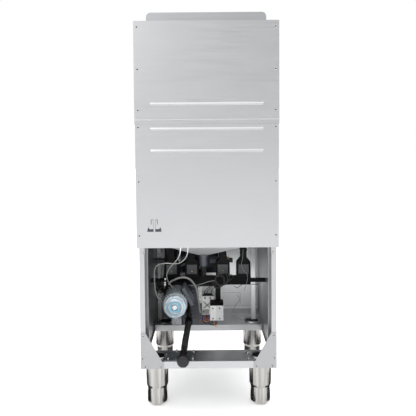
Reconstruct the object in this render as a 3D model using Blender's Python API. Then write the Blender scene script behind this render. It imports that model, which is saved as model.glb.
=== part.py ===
"""Hood-type commercial dishwasher, built as separate pieces.

Metres, +Z up, front of the machine towards -Y, floor at Z = 0.  Depths are given as d,
measured forwards from the rear plane of the base, so Y = y_at(d).
"""
import math

import bmesh
import bpy
from mathutils import Matrix, Vector

# ---- driving dimensions ------------------------------------------------------------------
GAP = 0.0003              # clearance between pieces that touch
SHEET = 0.0015            # stainless sheet
BASE_HALF = 0.283         # half width of the base
BASE_LOW = 0.2065         # underside of the base frame, on top of the feet
RIM_TOP = 0.8365          # top of the wash tank rim
BASE_DEPTH = 0.717        # rear plane to front panel face
COVER_OUT = 0.050         # rear covers stand this far behind the base
RIB_OUT = 0.003           # pressed ribs stand proud of the covers
POST_FACE = 0.0215        # width of the rear posts' faces
POST_DEPTH = 0.040
POST_TOP = 1.614
SIDE_FLANGE = 0.2704      # inner edge of the side panels' bottom flanges
FLANGE_TOP = 0.2365       # top of the bottom channels' flanges
REAR_CHANNEL = 0.193      # depth of the rear bottom channel
FRONT_CHANNEL = 0.450     # where the front bottom channel starts
PANEL_HALF = 0.286        # lower rear cover
PANEL_LOW = 0.721
SEAM_Z = 1.216
COVER_HALF = 0.288        # upper rear cover
COVER_TOP = 1.622
CARRIER_HALF = 0.2445     # hood carrier plate
CARRIER_TOP = 1.672
CARRIER_D = 0.012
HOOD_HALF = 0.2870
HOOD_LOW = 0.842
HOOD_TOP = 1.330
HOOD_REAR = 0.045
HOOD_FRONT = 0.7235
HANDLE_R = 0.0125
HANDLE_D = 0.755          # depth of the hood handle's bar
FOOT_PLACES = (("rear", 0.2276, 0.130), ("front", 0.2345, 0.600))   # row, half spacing, depth
FOOT_R = 0.0484           # foot housings
SOLE_R = 0.0300
PUMP_X, PUMP_Z = 0.146, 0.431
BOX_X = (-0.043, 0.131)   # electrical box
BOX_D = (0.4520, 0.6050)
BOX_TOP = 0.438
ARM_D = 0.385             # wash arms' axis
SUMP_X, SUMP_D = 0.020, 0.300
INLET_X, INLET_D = 0.200, 0.447   # where the wash water enters the tank
DRAIN_END = (0.1055, 0.2470)   # x and z of the waste fitting

FRONT_REACH = HANDLE_D + HANDLE_R
REAR_REACH = COVER_OUT + RIB_OUT
REAR_Y = (FRONT_REACH - REAR_REACH) / 2   # puts the origin midway between front and rear


def y_at(d):
    """World Y of a depth measured forwards from the base's rear plane."""
    return REAR_Y - d


def point(x, d, z):
    return Vector((x, y_at(d), z))


# ---- tools -------------------------------------------------------------------------------
def material(name, colour, roughness, metallic):
    mat = bpy.data.materials.new(name)
    mat.use_nodes = True
    shader = mat.node_tree.nodes["Principled BSDF"]
    shader.inputs["Base Color"].default_value = (*colour, 1.0)
    shader.inputs["Roughness"].default_value = roughness
    shader.inputs["Metallic"].default_value = metallic
    mat.diffuse_color = (*colour, 1.0)
    return mat


def add_object(name, bm, mat, smooth_angle=None):
    """Turn a bmesh into a named object whose faces point outwards."""
    bmesh.ops.recalc_face_normals(bm, faces=bm.faces)
    mesh = bpy.data.meshes.new(name)
    bm.to_mesh(mesh)
    bm.free()
    mesh.materials.append(mat)
    if smooth_angle:
        mesh.shade_smooth()
        mesh.set_sharp_from_angle(angle=math.radians(smooth_angle))
    obj = bpy.data.objects.new(name, mesh)
    bpy.context.scene.collection.objects.link(obj)
    return obj


def set_origin(obj, origin):
    """Move an object's origin without moving its shape."""
    obj.data.transform(Matrix.Translation(-Vector(origin)))
    obj.location = origin
    return obj


def bevel(obj, width, segments=1, angle=40):
    mod = obj.modifiers.new("bevel", "BEVEL")
    mod.width = width
    mod.segments = segments
    mod.limit_method = "ANGLE"
    mod.angle_limit = math.radians(angle)
    return obj


def boolean(target, tool, operation):
    """Cut or join one object with another, which is kept as a hidden guide."""
    tool.hide_render = True
    tool.display_type = "WIRE"
    mod = target.modifiers.new(operation.lower(), "BOOLEAN")
    mod.operation = operation
    mod.object = tool
    return target


def rings(bm, loops, closed=False):
    """Skin rings of equal point counts; cap both ends, or join the last to the first."""
    made = [[bm.verts.new(p) for p in loop] for loop in loops]
    count = len(made[0])
    pairs = list(zip(made, made[1:]))
    if closed:
        pairs.append((made[-1], made[0]))
    for low, high in pairs:
        for i in range(count):
            j = (i + 1) % count
            bm.faces.new((low[i], low[j], high[j], high[i]))
    if not closed:
        bm.faces.new(made[0][::-1])
        bm.faces.new(made[-1])


def prism(bm, outline, axis, start, end):
    """Extrude a flat outline along X, Y (given as depth d) or Z.

    The outline holds (d, z) pairs for X, (x, z) pairs for Y and (x, d) pairs for Z.
    """
    place = {
        "X": lambda a, b, t: point(t, a, b),
        "Y": lambda a, b, t: point(a, t, b),
        "Z": lambda a, b, t: point(a, b, t),
    }[axis]
    rings(bm, [[place(a, b, t) for a, b in outline] for t in (start, end)])


def block(bm, x, d, z):
    """Box from (low, high) pairs."""
    prism(bm, [(x[0], d[0]), (x[1], d[0]), (x[1], d[1]), (x[0], d[1])], "Z", z[0], z[1])


def rectangle(x, d, z, radius=0.0, steps=3):
    """Ring of points round a rectangle with rounded corners, at height z."""
    if radius <= 0:
        return [point(a, b, z) for a, b in ((x[0], d[0]), (x[1], d[0]), (x[1], d[1]), (x[0], d[1]))]
    corners = (
        (x[1] - radius, d[1] - radius, 0),
        (x[0] + radius, d[1] - radius, 90),
        (x[0] + radius, d[0] + radius, 180),
        (x[1] - radius, d[0] + radius, 270),
    )
    ring = []
    for cx, cd, first in corners:
        for step in range(steps + 1):
            angle = math.radians(first + 90 * step / steps)
            ring.append(point(cx + radius * math.cos(angle), cd + radius * math.sin(angle), z))
    return ring


def turned(bm, profile, segments, base, axis="Z"):
    """Turn (radius, height) pairs round an axis through base.

    Pairs with radius 0 at both ends make a solid; a profile without them closes on
    itself and makes a ring.  For axis Y the heights are depths, for X they are X.
    """
    def place(radius, height, angle):
        a, b = radius * math.cos(angle), radius * math.sin(angle)
        if axis == "Z":
            return Vector((base[0] + a, y_at(base[1]) + b, height))
        if axis == "Y":
            return Vector((base[0] + a, y_at(height), base[1] + b))
        return Vector((height, y_at(base[0]) + a, base[1] + b))

    angles = [2 * math.pi * i / segments for i in range(segments)]
    body = [pair for pair in profile if pair[0] > 0]
    loops = [[bm.verts.new(place(r, h, t)) for t in angles] for r, h in body]
    solid = profile[0][0] == 0
    pairs = list(zip(loops, loops[1:]))
    if not solid:
        pairs.append((loops[-1], loops[0]))
    for low, high in pairs:
        for i in range(segments):
            j = (i + 1) % segments
            bm.faces.new((low[i], low[j], high[j], high[i]))
    if solid:
        bm.faces.new(loops[0][::-1])
        bm.faces.new(loops[-1])


def turned_object(name, profile, segments, base, axis, mat):
    bm = bmesh.new()
    turned(bm, profile, segments, base, axis)
    return add_object(name, bm, mat, smooth_angle=35)


def prism_object(name, outline, axis, start, end, mat):
    bm = bmesh.new()
    prism(bm, outline, axis, start, end)
    return add_object(name, bm, mat)


def block_object(name, x, d, z, mat):
    bm = bmesh.new()
    block(bm, x, d, z)
    return add_object(name, bm, mat)


def smooth_route(points, per_leg):
    """Catmull-Rom curve through the route's points."""
    ends = [2 * points[0] - points[1], *points, 2 * points[-1] - points[-2]]
    route = []
    for before, start, end, after in zip(ends, ends[1:], ends[2:], ends[3:]):
        for step in range(per_leg):
            t = step / per_leg
            route.append(0.5 * (2 * start + (end - before) * t
                                + (2 * before - 5 * start + 4 * end - after) * t * t
                                + (3 * start - before - 3 * end + after) * t ** 3))
    return [*route, points[-1]]


def tube(name, routes, radius, mat, resolution=2):
    """Round solid along each route, as one curve object."""
    curve = bpy.data.curves.new(name, "CURVE")
    curve.dimensions = "3D"
    curve.bevel_depth = radius
    curve.bevel_resolution = resolution
    curve.use_fill_caps = True
    curve.materials.append(mat)
    for route in routes:
        spline = curve.splines.new("POLY")
        spline.points.add(len(route) - 1)
        for knot, place in zip(spline.points, route):
            knot.co = (*place, 1.0)
    obj = bpy.data.objects.new(name, curve)
    bpy.context.scene.collection.objects.link(obj)
    return obj


def tube_mesh(name, route, radius, mat):
    """A tube as a mesh object, for joining with other shapes."""
    guide = tube(name + "_guide", [route], radius, mat)
    mesh = bpy.data.meshes.new_from_object(guide)
    bpy.data.objects.remove(guide)
    bm = bmesh.new()
    bm.from_mesh(mesh)
    bmesh.ops.remove_doubles(bm, verts=bm.verts, dist=1e-6)
    bpy.data.meshes.remove(mesh)
    return add_object(name, bm, mat, smooth_angle=40)


def bend(corner, start, end, radius, steps=5):
    """Points of the arc that rounds a corner between two straight runs."""
    corner = Vector(corner)
    one = (Vector(start) - corner).normalized()
    two = (Vector(end) - corner).normalized()
    half = one.angle(two) / 2
    reach = radius / math.tan(half)
    centre = corner + (one + two).normalized() * radius / math.sin(half)
    first = corner + one * reach - centre
    last = corner + two * reach - centre
    sweep = first.angle(last)
    arc = []
    for step in range(steps + 1):
        t = step / steps
        arc.append(centre + (first * math.sin((1 - t) * sweep) + last * math.sin(t * sweep))
                   / math.sin(sweep))
    return arc


def rounded_route(corners, radius, steps=5):
    """Straight runs with an arc at each inner corner."""
    route = [Vector(corners[0])]
    for before, here, after in zip(corners, corners[1:], corners[2:]):
        route += bend(here, before, after, radius, steps)
    return [*route, Vector(corners[-1])]


def sided(name):
    """Left and right as seen from the front: -X is left, +X is right."""
    return ((name + "_left", -1), (name + "_right", 1))


for old in list(bpy.data.objects):
    bpy.data.objects.remove(old)

STEEL = material("brushed_steel", (0.62, 0.62, 0.61), 0.34, 1.0)
PANEL_STEEL = material("panel_steel", (0.66, 0.67, 0.68), 0.42, 0.9)
POLISHED = material("polished_steel", (0.60, 0.58, 0.55), 0.18, 1.0)
GALVANISED = material("galvanised", (0.42, 0.44, 0.46), 0.45, 1.0)
BLACK = material("black_plastic", (0.012, 0.012, 0.013), 0.45, 0.0)
RUBBER = material("black_rubber", (0.015, 0.015, 0.016), 0.6, 0.0)
GREY = material("grey_plastic", (0.35, 0.35, 0.33), 0.5, 0.0)
WHITE = material("white_plastic", (0.75, 0.75, 0.72), 0.45, 0.0)
ALUMINIUM = material("cast_aluminium", (0.62, 0.68, 0.72), 0.4, 0.9)
DARK = material("dark_steel", (0.06, 0.065, 0.075), 0.4, 0.7)


# ---- base frame --------------------------------------------------------------------------
def base_frame():
    post_low = BASE_LOW + SHEET + GAP
    inner = BASE_HALF - POST_FACE
    for name, s in sided("rear_post"):
        outline = [
            (s * inner, 0), (s * BASE_HALF, 0), (s * BASE_HALF, POST_DEPTH),
            (s * inner, POST_DEPTH), (s * inner, POST_DEPTH - SHEET),
            (s * (BASE_HALF - SHEET), POST_DEPTH - SHEET), (s * (BASE_HALF - SHEET), SHEET),
            (s * inner, SHEET),
        ]
        prism_object(name, outline, "Z", post_low, POST_TOP, PANEL_STEEL)

    floor_top = BASE_LOW + SHEET
    rear_profile = [(0, BASE_LOW), (REAR_CHANNEL, BASE_LOW), (REAR_CHANNEL, floor_top),
                    (SHEET, floor_top), (SHEET, FLANGE_TOP), (0, FLANGE_TOP)]
    start, end = FRONT_CHANNEL, BASE_DEPTH - 2 * SHEET
    front_profile = [(start, BASE_LOW), (end, BASE_LOW), (end, FLANGE_TOP), (end - SHEET, FLANGE_TOP),
                     (end - SHEET, floor_top), (start + SHEET, floor_top),
                     (start + SHEET, FLANGE_TOP), (start, FLANGE_TOP)]
    for name, outline in (("rear_bottom_channel", rear_profile),
                          ("front_bottom_channel", front_profile)):
        reach = inner - GAP if outline is rear_profile else SIDE_FLANGE - GAP
        prism_object(name, outline, "X", -reach, reach, PANEL_STEEL)

    outer = BASE_HALF - 0.0005
    for name, s in sided("corner_gusset"):
        outline = [
            (s * outer, BASE_LOW), (s * outer, 0.3580), (s * inner, 0.3580),
            (s * 0.1935, FLANGE_TOP), (s * 0.1865, FLANGE_TOP), (s * 0.1865, BASE_LOW),
        ]
        plate = prism_object(name, outline, "Y", -GAP - SHEET, -GAP, PANEL_STEEL)
        bevel(plate, 0.0004)

    side_top = RIM_TOP - SHEET - GAP
    for name, s in sided("side_panel"):
        face, back = s * BASE_HALF, s * (BASE_HALF - SHEET)
        outline = [
            (face, BASE_LOW), (face, side_top), (back, side_top), (back, BASE_LOW + SHEET),
            (s * SIDE_FLANGE, BASE_LOW + SHEET), (s * SIDE_FLANGE, BASE_LOW),
        ]
        prism_object(name, outline, "Y", POST_DEPTH + GAP, BASE_DEPTH - SHEET - GAP, PANEL_STEEL)

    panel = block_object("front_panel", (-outer, outer), (BASE_DEPTH - SHEET, BASE_DEPTH),
                         (BASE_LOW + 0.0007, 0.7335), PANEL_STEEL)
    bevel(panel, 0.0004)


def fascia_and_buttons():
    bm = bmesh.new()
    front, back, wall = 0.7285, BASE_DEPTH - SHEET, 0.002
    wide, low, high = BASE_HALF - 0.0005, 0.7350, 0.8335

    def frame(d, inset):
        return [point(x, d, z) for x, z in ((-wide + inset, low + inset), (wide - inset, low + inset),
                                            (wide - inset, high - inset), (-wide + inset, high - inset))]

    rings(bm, [frame(front - wall, wall), frame(back, wall), frame(back, 0),
               frame(front - 0.003, 0), frame(front, 0.003)])
    fascia = add_object("control_fascia", bm, PANEL_STEEL)
    for name, x, radius in (("start_button", 0.060, 0.0110), ("power_button", 0.105, 0.0090)):
        drill = turned_object(name + "_drill", [(0, 0.70), (radius + 0.0005, 0.70),
                                                (radius + 0.0005, 0.75), (0, 0.75)],
                              20, (x, 0.785), "Y", DARK)
        boolean(fascia, drill, "DIFFERENCE")
        button = turned_object(name, [(0, 0.7200), (radius, 0.7200), (radius, 0.7315),
                                      (radius - 0.0015, 0.7330), (0, 0.7330)],
                               20, (x, 0.785), "Y", WHITE)
        set_origin(button, point(x, 0.7265, 0.785))


# ---- rear covers -------------------------------------------------------------------------
def pressed_rib(name, z):
    """Long capsule that is joined to a cover as its pressed rib."""
    bm = bmesh.new()
    half_long, half_high, steps = 0.227, 0.006, 5

    def capsule(shrink, d):
        ring = []
        for side, first in ((1, -90), (-1, 90)):
            for step in range(steps + 1):
                angle = math.radians(first + 180 * step / steps)
                ring.append(point(side * (half_long - half_high) + (half_high - shrink) * math.cos(angle),
                                  d, z + (half_high - shrink) * math.sin(angle)))
        return ring

    face = -COVER_OUT
    rings(bm, [capsule(0, face + 0.0008), capsule(0, face - 0.0008),
               capsule(0.0025, face - RIB_OUT)])
    return add_object(name, bm, PANEL_STEEL)


def folded_cover(name, half, low, high, mat):
    """Sheet with both long edges folded forwards round the column."""
    back, reach = -COVER_OUT, 0.030
    outline = [
        (-half, back), (half, back), (half, reach), (half - SHEET, reach),
        (half - SHEET, back + SHEET), (-half + SHEET, back + SHEET),
        (-half + SHEET, reach), (-half, reach),
    ]
    return prism_object(name, outline, "Z", low, high, mat)


def rear_covers():
    lower = folded_cover("lower_rear_cover", PANEL_HALF, PANEL_LOW, SEAM_Z - GAP, PANEL_STEEL)
    for number, z in enumerate((1.197, 1.110)):
        boolean(lower, pressed_rib(f"lower_rib_{number}", z), "UNION")
    for number, s in enumerate((-1, 1)):
        centre, web = 0.2136, 0.0035
        neck, foot, low, waist, high = 0.0135, 0.0285, 0.787, 0.812, 0.836
        outline = [(centre + s * web, low), (centre + s * foot, low)]
        for step in range(1, 6):
            angle = math.radians(90 * step / 5)
            outline.append((centre + s * (neck + (foot - neck) * math.cos(angle)),
                            low + (waist - low) * math.sin(angle)))
        outline += [(centre + s * neck, high), (centre + s * web, high)]
        knock_out = prism_object(f"knock_out_{number}", outline, "Y", -0.06, -0.045, DARK)
        boolean(lower, knock_out, "DIFFERENCE")

    upper = folded_cover("upper_rear_cover", COVER_HALF, SEAM_Z, COVER_TOP, PANEL_STEEL)
    boolean(upper, pressed_rib("upper_rib", 1.296), "UNION")
    top_fold = block_object("top_fold", (-COVER_HALF + 0.0005, COVER_HALF - 0.0005),
                            (-COVER_OUT + 0.0004, 0.004), (COVER_TOP - SHEET, COVER_TOP - 0.0002),
                            PANEL_STEEL)
    boolean(upper, top_fold, "UNION")


def column_frame():
    """Folded arch that spaces the rear covers from the posts and holds the springs."""
    def arch(outer, inner, low, beam, top):
        return [(-outer, low), (-inner, low), (-inner, beam), (inner, beam),
                (inner, low), (outer, low), (outer, top), (-outer, top)]

    outer, inner, low, beam, top = 0.2830, 0.2650, 0.7230, 1.5900, 1.6190
    back = -COVER_OUT + SHEET + GAP
    frame = prism_object("column_frame", arch(outer, inner, low, beam, top), "Y", back, -GAP,
                         GALVANISED)
    wall = 0.0020
    inside = arch(outer - wall, inner + wall, low + wall, beam + wall, top - wall)
    boolean(frame, prism_object("column_inside", inside, "Y", back + wall, 0.010, DARK), "DIFFERENCE")


# ---- feet --------------------------------------------------------------------------------
def feet():
    top, ceiling, step_high, step_low = BASE_LOW - GAP, 0.2000, 0.0905, 0.0800
    mouth, bore = FOOT_R - 0.0035, FOOT_R - 0.0045
    housing = [(0, top), (FOOT_R, top), (FOOT_R, step_high), (mouth, step_low),
               (bore, step_low), (bore, ceiling), (0, ceiling)]
    leg, ankle, inside, leg_top = bore - 0.0014, FOOT_R - 0.0045, FOOT_R - 0.0105, 0.1900
    inner_leg = [(0, 0.0100), (inside, 0.0100), (inside, leg_top), (leg, leg_top), (leg, step_low),
                 (ankle, 0.0180), (ankle, 0.0130), (SOLE_R, 0), (0, 0)]
    for row, x, d in FOOT_PLACES:
        for side, s in sided(row):
            at = (s * x, d)
            turned_object("foot_housing_" + side, housing, 32, at, "Z", POLISHED)
            foot = turned_object("adjusting_foot_" + side, inner_leg, 32, at, "Z", POLISHED)
            set_origin(foot, point(*at, 0))


# ---- tank and chamber --------------------------------------------------------------------
def wash_tank():
    wall, lip = 0.270, 0.2830
    rear, front = 0.062, 0.700
    lip_rear, lip_front = 0.047, 0.7135
    slope_top, floor = 0.728, 0.630
    sump_x, sump_d = (SUMP_X - 0.03, SUMP_X + 0.03), (SUMP_D - 0.03, SUMP_D + 0.03)
    bm = bmesh.new()
    outer, inner = (-wall, wall), (-wall + SHEET, wall - SHEET)
    outer_d, inner_d = (rear, front), (rear + SHEET, front - SHEET)
    rings(bm, [
        rectangle(sump_x, sump_d, floor, 0.008),
        rectangle(outer, outer_d, slope_top, 0.02),
        rectangle(outer, outer_d, RIM_TOP - SHEET, 0.02),
        rectangle((-lip, lip), (lip_rear, lip_front), RIM_TOP - SHEET, 0.006),
        rectangle((-lip, lip), (lip_rear, lip_front), RIM_TOP, 0.006),
        rectangle(inner, inner_d, RIM_TOP, 0.0185),
        rectangle(inner, inner_d, slope_top + SHEET / 2, 0.0185),
        rectangle(sump_x, sump_d, floor + SHEET, 0.008),
    ])
    tank = add_object("wash_tank", bm, STEEL)
    holes = (("overflow_hole", SUMP_X, SUMP_D, 0.0168, 0.60, 0.66),
             ("inlet_hole", INLET_X, INLET_D, 0.0138, 0.66, 0.74))
    for name, x, d, radius, low, high in holes:
        cut = turned_object(name, [(0, high), (radius, high), (radius, low), (0, low)],
                            16, (x, d), "Z", DARK)
        boolean(tank, cut, "DIFFERENCE")

    block_object("chamber_rear_wall", (-0.2695, 0.2695), (0.0600, 0.0615),
                 (RIM_TOP + GAP, 1.300), STEEL)

    cup, bore = 0.028, 0.025
    turned_object("drain_sump", [(0.010, 0.575), (cup, 0.575), (cup, 0.621), (0.036, 0.621),
                                 (0.036, 0.6295), (bore, 0.6295), (bore, 0.578), (0.010, 0.578)],
                  20, (SUMP_X, SUMP_D), "Z", STEEL)
    turned_object("overflow_pipe", [(0.0145, 0.600), (0.016, 0.600), (0.016, 0.785),
                                    (0.0145, 0.785)], 16, (SUMP_X, SUMP_D), "Z", GREY)

    tray = block_object("tank_strainer", (-0.262, 0.262), (0.125, 0.690), (0.7450, 0.7462), STEEL)
    for name, x, d, radius in (("column_hole", 0, ARM_D, 0.020), ("pipe_hole", SUMP_X, SUMP_D, 0.019)):
        cut = turned_object(name, [(0, 0.78), (radius, 0.78), (radius, 0.72), (0, 0.72)],
                            16, (x, d), "Z", DARK)
        boolean(tray, cut, "DIFFERENCE")

    low, lip_high, ledge = RIM_TOP + GAP, 0.865, 0.030
    rails = []
    for d, s in ((0.120, 1), (0.650, -1)):
        outline = [(d, low), (d + s * ledge, low), (d + s * ledge, low + 0.0015),
                   (d + s * 0.0015, low + 0.0015), (d + s * 0.0015, lip_high), (d, lip_high)]
        rails.append(prism_object(f"rail_{len(rails)}", outline, "X", -0.278, 0.278, STEEL))
    guide = rails[0]
    guide.name = "rack_guide"
    boolean(guide, rails[1], "UNION")
    for number, x in enumerate((-0.2765, 0.2575)):
        tie = block_object(f"rail_tie_{number}", (x, x + 0.019), (0.130, 0.640),
                           (low + 0.0002, low + 0.0017), STEEL)
        boolean(guide, tie, "UNION")


def spray_system():
    """Fixed pipework and the four arms that spin on its two pins."""
    low_z, top_z, pipe = 0.727, 1.285, 0.013
    corners = [point(INLET_X, INLET_D, 0.6805), point(INLET_X, INLET_D, low_z), point(0, ARM_D, low_z),
               point(-0.045, 0.340, low_z), point(-0.045, 0.100, low_z), point(-0.045, 0.100, top_z),
               point(0, 0.200, top_z), point(0, ARM_D, top_z)]
    manifold = tube_mesh("spray_manifold", rounded_route(corners, 0.020, 3), pipe, STEEL)
    pin, cap, column = 0.008, 0.013, 0.0165
    lower = turned_object("lower_column", [(0, low_z), (column, low_z), (column, 0.792), (pin, 0.792),
                                           (pin, 0.8275), (cap, 0.8275), (cap, 0.8350), (0, 0.8350)],
                          16, (0, ARM_D), "Z", STEEL)
    upper = turned_object("upper_column", [(0, top_z), (column, top_z), (column, 1.262), (pin, 1.262),
                                           (pin, 1.2265), (cap, 1.2265), (cap, 1.2190), (0, 1.2190)],
                          16, (0, ARM_D), "Z", STEEL)
    boolean(manifold, lower, "UNION")
    boolean(manifold, upper, "UNION")

    for name, low, high, rinse_low, rinse_high in (
            ("lower_spray_arm", 0.7935, 0.8115, 0.8105, 0.8250),
            ("upper_spray_arm", 1.2420, 1.2600, 1.2285, 1.2430)):
        arm = arm_bar(name, 0.235, 0.022, low, high, 0)
        rinse = arm_bar(name + "_rinse_bar", 0.200, 0.011, rinse_low, rinse_high, 90)
        boolean(arm, rinse, "UNION")
        bore = 0.0085
        cut = turned_object(name + "_bore", [(0, high + 0.03), (bore, high + 0.03), (bore, low - 0.03),
                                             (0, low - 0.03)], 16, (0, ARM_D), "Z", DARK)
        boolean(arm, cut, "DIFFERENCE")
        set_origin(arm, point(0, ARM_D, low))


def arm_bar(name, reach, half, low, high, turn):
    """Tapered bar with rounded ends and a round hub, turned about the pin."""
    hub, tip = max(half * 1.35, 0.0200), half * 0.7
    outline = []
    for first, centre, radius in ((-60, reach - tip, tip), (30, 0, hub), (120, -reach + tip, tip),
                                  (210, 0, hub)):
        for step in range(5):
            angle = math.radians(first + 120 * step / 4)
            outline.append((centre + radius * math.cos(angle), radius * math.sin(angle)))
    outline.sort(key=lambda pair: math.atan2(pair[1], pair[0]))
    cos, sin = math.cos(math.radians(turn)), math.sin(math.radians(turn))
    outline = [(a * cos - b * sin, ARM_D + a * sin + b * cos) for a, b in outline]
    bm = bmesh.new()
    prism(bm, outline, "Z", low, high)
    return bevel(add_object(name, bm, STEEL), 0.003)


# ---- wash pump ---------------------------------------------------------------------------
def wash_pump():
    at = (PUMP_X, PUMP_Z)
    bore = 0.0095
    turned_object("pump_motor", [(bore, 0.1455), (0.052, 0.1455), (0.052, 0.2900), (0.046, 0.2997),
                                 (bore, 0.2997)], 28, at, "Y", ALUMINIUM)
    turned_object("pump_end_bell", [
        (0.0130, 0.1010), (0.0240, 0.1040), (0.0270, 0.1080), (0.0400, 0.1100), (0.0470, 0.1180),
        (0.0508, 0.1260), (0.0508, 0.1450), (0.0478, 0.1450), (0.0478, 0.1280), (0.0380, 0.1140),
        (0.0130, 0.1080),
    ], 28, at, "Y", ALUMINIUM)
    turned_object("pump_rotor", [
        (0, 0.1050), (0.0105, 0.1050), (0.0105, 0.1200), (0.0360, 0.1200), (0.0360, 0.1340),
        (0.0080, 0.1340), (0.0080, 0.3180), (0.0500, 0.3180), (0.0500, 0.3360),
        (0.0120, 0.3420), (0, 0.3420),
    ], 24, at, "Y", ALUMINIUM)
    set_origin(bpy.data.objects["pump_rotor"], point(PUMP_X, 0.1050, PUMP_Z))

    volute = turned_object("pump_volute", [
        (bore, 0.3002), (0.0660, 0.3002), (0.0660, 0.3520), (0.0240, 0.3520), (0.0240, 0.3750),
        (0.0190, 0.3750), (0.0190, 0.3470), (0.0560, 0.3470), (0.0560, 0.3060), (bore, 0.3060),
    ], 28, at, "Y", BLACK)
    neck_at = (0.3260, PUMP_Z + 0.0500)
    neck = turned_object("outlet_neck", [(0, 0.1600), (0.0190, 0.1600), (0.0190, 0.2070), (0, 0.2070)],
                         20, neck_at, "X", BLACK)
    outlet = turned_object("outlet_bore", [(0, 0.1500), (0.0150, 0.1500), (0.0150, 0.2200),
                                           (0, 0.2200)], 20, neck_at, "X", BLACK)
    boolean(volute, neck, "UNION")
    cavity = turned_object("volute_cavity", [(0, 0.3060), (0.0560, 0.3060), (0.0560, 0.3470),
                                             (0, 0.3470)], 28, at, "Y", BLACK)
    boolean(volute, outlet, "DIFFERENCE")
    boolean(volute, cavity, "DIFFERENCE")

    box = bmesh.new()
    half_long, half_thick = 0.045, 0.0090
    block(box, (-half_thick, half_thick), (0.165, 0.270), (-half_long, half_long))
    lean = math.radians(-28.8)
    away = 0.0525 + half_thick
    turn = Matrix.Rotation(lean, 4, "Y")
    bmesh.ops.translate(box, verts=box.verts, vec=(-away, 0, 0))
    bmesh.ops.transform(box, matrix=Matrix.Translation((PUMP_X, 0, PUMP_Z)) @ turn.inverted(),
                        verts=box.verts)
    bevel(add_object("pump_terminal_box", box, GREY), 0.003)

    arm_top, sole = PUMP_Z - 0.066 - GAP, BASE_LOW + SHEET + GAP
    outline = [
        (0.305, arm_top - 0.003), (0.454, arm_top - 0.003), (0.454, sole), (0.520, sole),
        (0.520, sole + 0.003), (0.457, sole + 0.003), (0.457, arm_top), (0.305, arm_top),
    ]
    prism_object("pump_bracket", outline, "X", 0.137, 0.185, GALVANISED)


def hoses():
    rise = [point(0.2080, 0.3260, 0.4810), point(0.2190, 0.3260, 0.4810), point(0.2310, 0.3310, 0.4780),
            point(0.2380, 0.3430, 0.4690), point(0.2400, 0.3560, 0.4570), point(0.2360, 0.3720, 0.4440),
            point(0.2320, 0.3920, 0.4350), point(0.2260, 0.4150, 0.4340), point(0.2180, 0.4360, 0.4450),
            point(0.2100, 0.4500, 0.4750), point(0.2040, 0.4550, 0.5200), point(0.2000, 0.4550, 0.5750),
            point(0.2000, 0.4520, 0.6300), point(INLET_X, INLET_D, 0.6620), point(INLET_X, INLET_D, 0.6800)]
    tube("pressure_hose", [smooth_route(rise, 4)], 0.0190, RUBBER)
    suction = [
        point(PUMP_X, 0.3755, PUMP_Z), point(PUMP_X, 0.3900, PUMP_Z + 0.001),
        point(0.1500, 0.4200, 0.4480), point(0.1560, 0.4290, 0.4900),
        point(0.1400, 0.4290, 0.5400), point(0.0900, 0.4290, 0.5600), point(0.0350, 0.4270, 0.5680),
        point(0.0080, 0.4100, 0.5850), point(0.0060, 0.3700, 0.5985), point(0.0145, 0.3290, 0.5985),
    ]
    tube("suction_hose", [smooth_route(suction, 5)], 0.0160, RUBBER)
    drain = [
        point(SUMP_X, SUMP_D, 0.5738), point(SUMP_X, SUMP_D, 0.5560), point(0.0205, 0.3090, 0.5370),
        point(0.0215, 0.3300, 0.5270), point(0.0220, 0.3560, 0.5240), point(0.0240, 0.3880, 0.5220),
        point(0.0320, 0.4160, 0.5160), point(0.0520, 0.4260, 0.5020), point(0.0760, 0.4280, 0.4880),
        point(0.0960, 0.4290, 0.4680), point(0.1060, 0.4290, 0.4400), point(0.1080, 0.4270, 0.4100),
        point(0.1070, 0.4200, 0.3800), point(0.1040, 0.4050, 0.3540), point(0.0990, 0.3800, 0.3340),
        point(0.0950, 0.3480, 0.3190), point(0.0935, 0.3150, 0.3080),
        point(0.0950, 0.2800, 0.2980), point(0.0980, 0.2400, 0.2880),
        point(0.1000, 0.2000, 0.2790), point(0.1030, 0.1600, 0.2700), point(0.1045, 0.1200, 0.2630),
        point(0.1055, 0.0800, 0.2580), point(0.1055, 0.0400, 0.2545), point(0.1055, 0.0100, 0.2535),
        point(0.1055, -0.0150, 0.2535),
    ]
    hose = tube_mesh("drain_hose", smooth_route(drain, 3), 0.0135, RUBBER)
    end = turned_object("drain_end", [(0, -0.0340), (0.0200, -0.0340), (0.0240, -0.0310),
                                      (0.0240, -0.0060), (0.0190, -0.0025), (0, -0.0025)],
                        20, DRAIN_END, "Y", BLACK)
    boolean(hose, end, "UNION")

    vent = [point(0.1820, 0.2500, 0.4960), point(0.1700, 0.2480, 0.5120), point(0.1250, 0.2450, 0.5300),
            point(0.0850, 0.2500, 0.5200), point(0.0560, 0.2650, 0.4750), point(0.0440, 0.2900, 0.4000),
            point(0.0400, 0.3300, 0.3450), point(0.0300, 0.3700, 0.3270), point(0.0200, 0.3850, 0.3290)]
    tube("vent_hose", [smooth_route(vent, 5)], 0.0045, GREY)


def wiring():
    routes = {
        "motor_cable": [
            (0.113, 0.050, 0.780), (0.115, 0.052, 0.700), (0.127, 0.075, 0.655), (0.165, 0.120, 0.605),
            (0.184, 0.160, 0.565), (0.180, 0.200, 0.520), (0.160, 0.220, 0.4865)],
        "sensor_cable": [
            (0.083, 0.050, 0.780), (0.084, 0.055, 0.700), (0.095, 0.085, 0.655), (0.130, 0.110, 0.624),
            (0.195, 0.125, 0.622), (0.232, 0.140, 0.600), (0.238, 0.150, 0.540), (0.230, 0.160, 0.470),
            (0.2025, 0.170, 0.4370)],
    }
    for name, route in routes.items():
        tube(name, [smooth_route([point(*place) for place in route], 4)], 0.0023, GREY)


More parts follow.
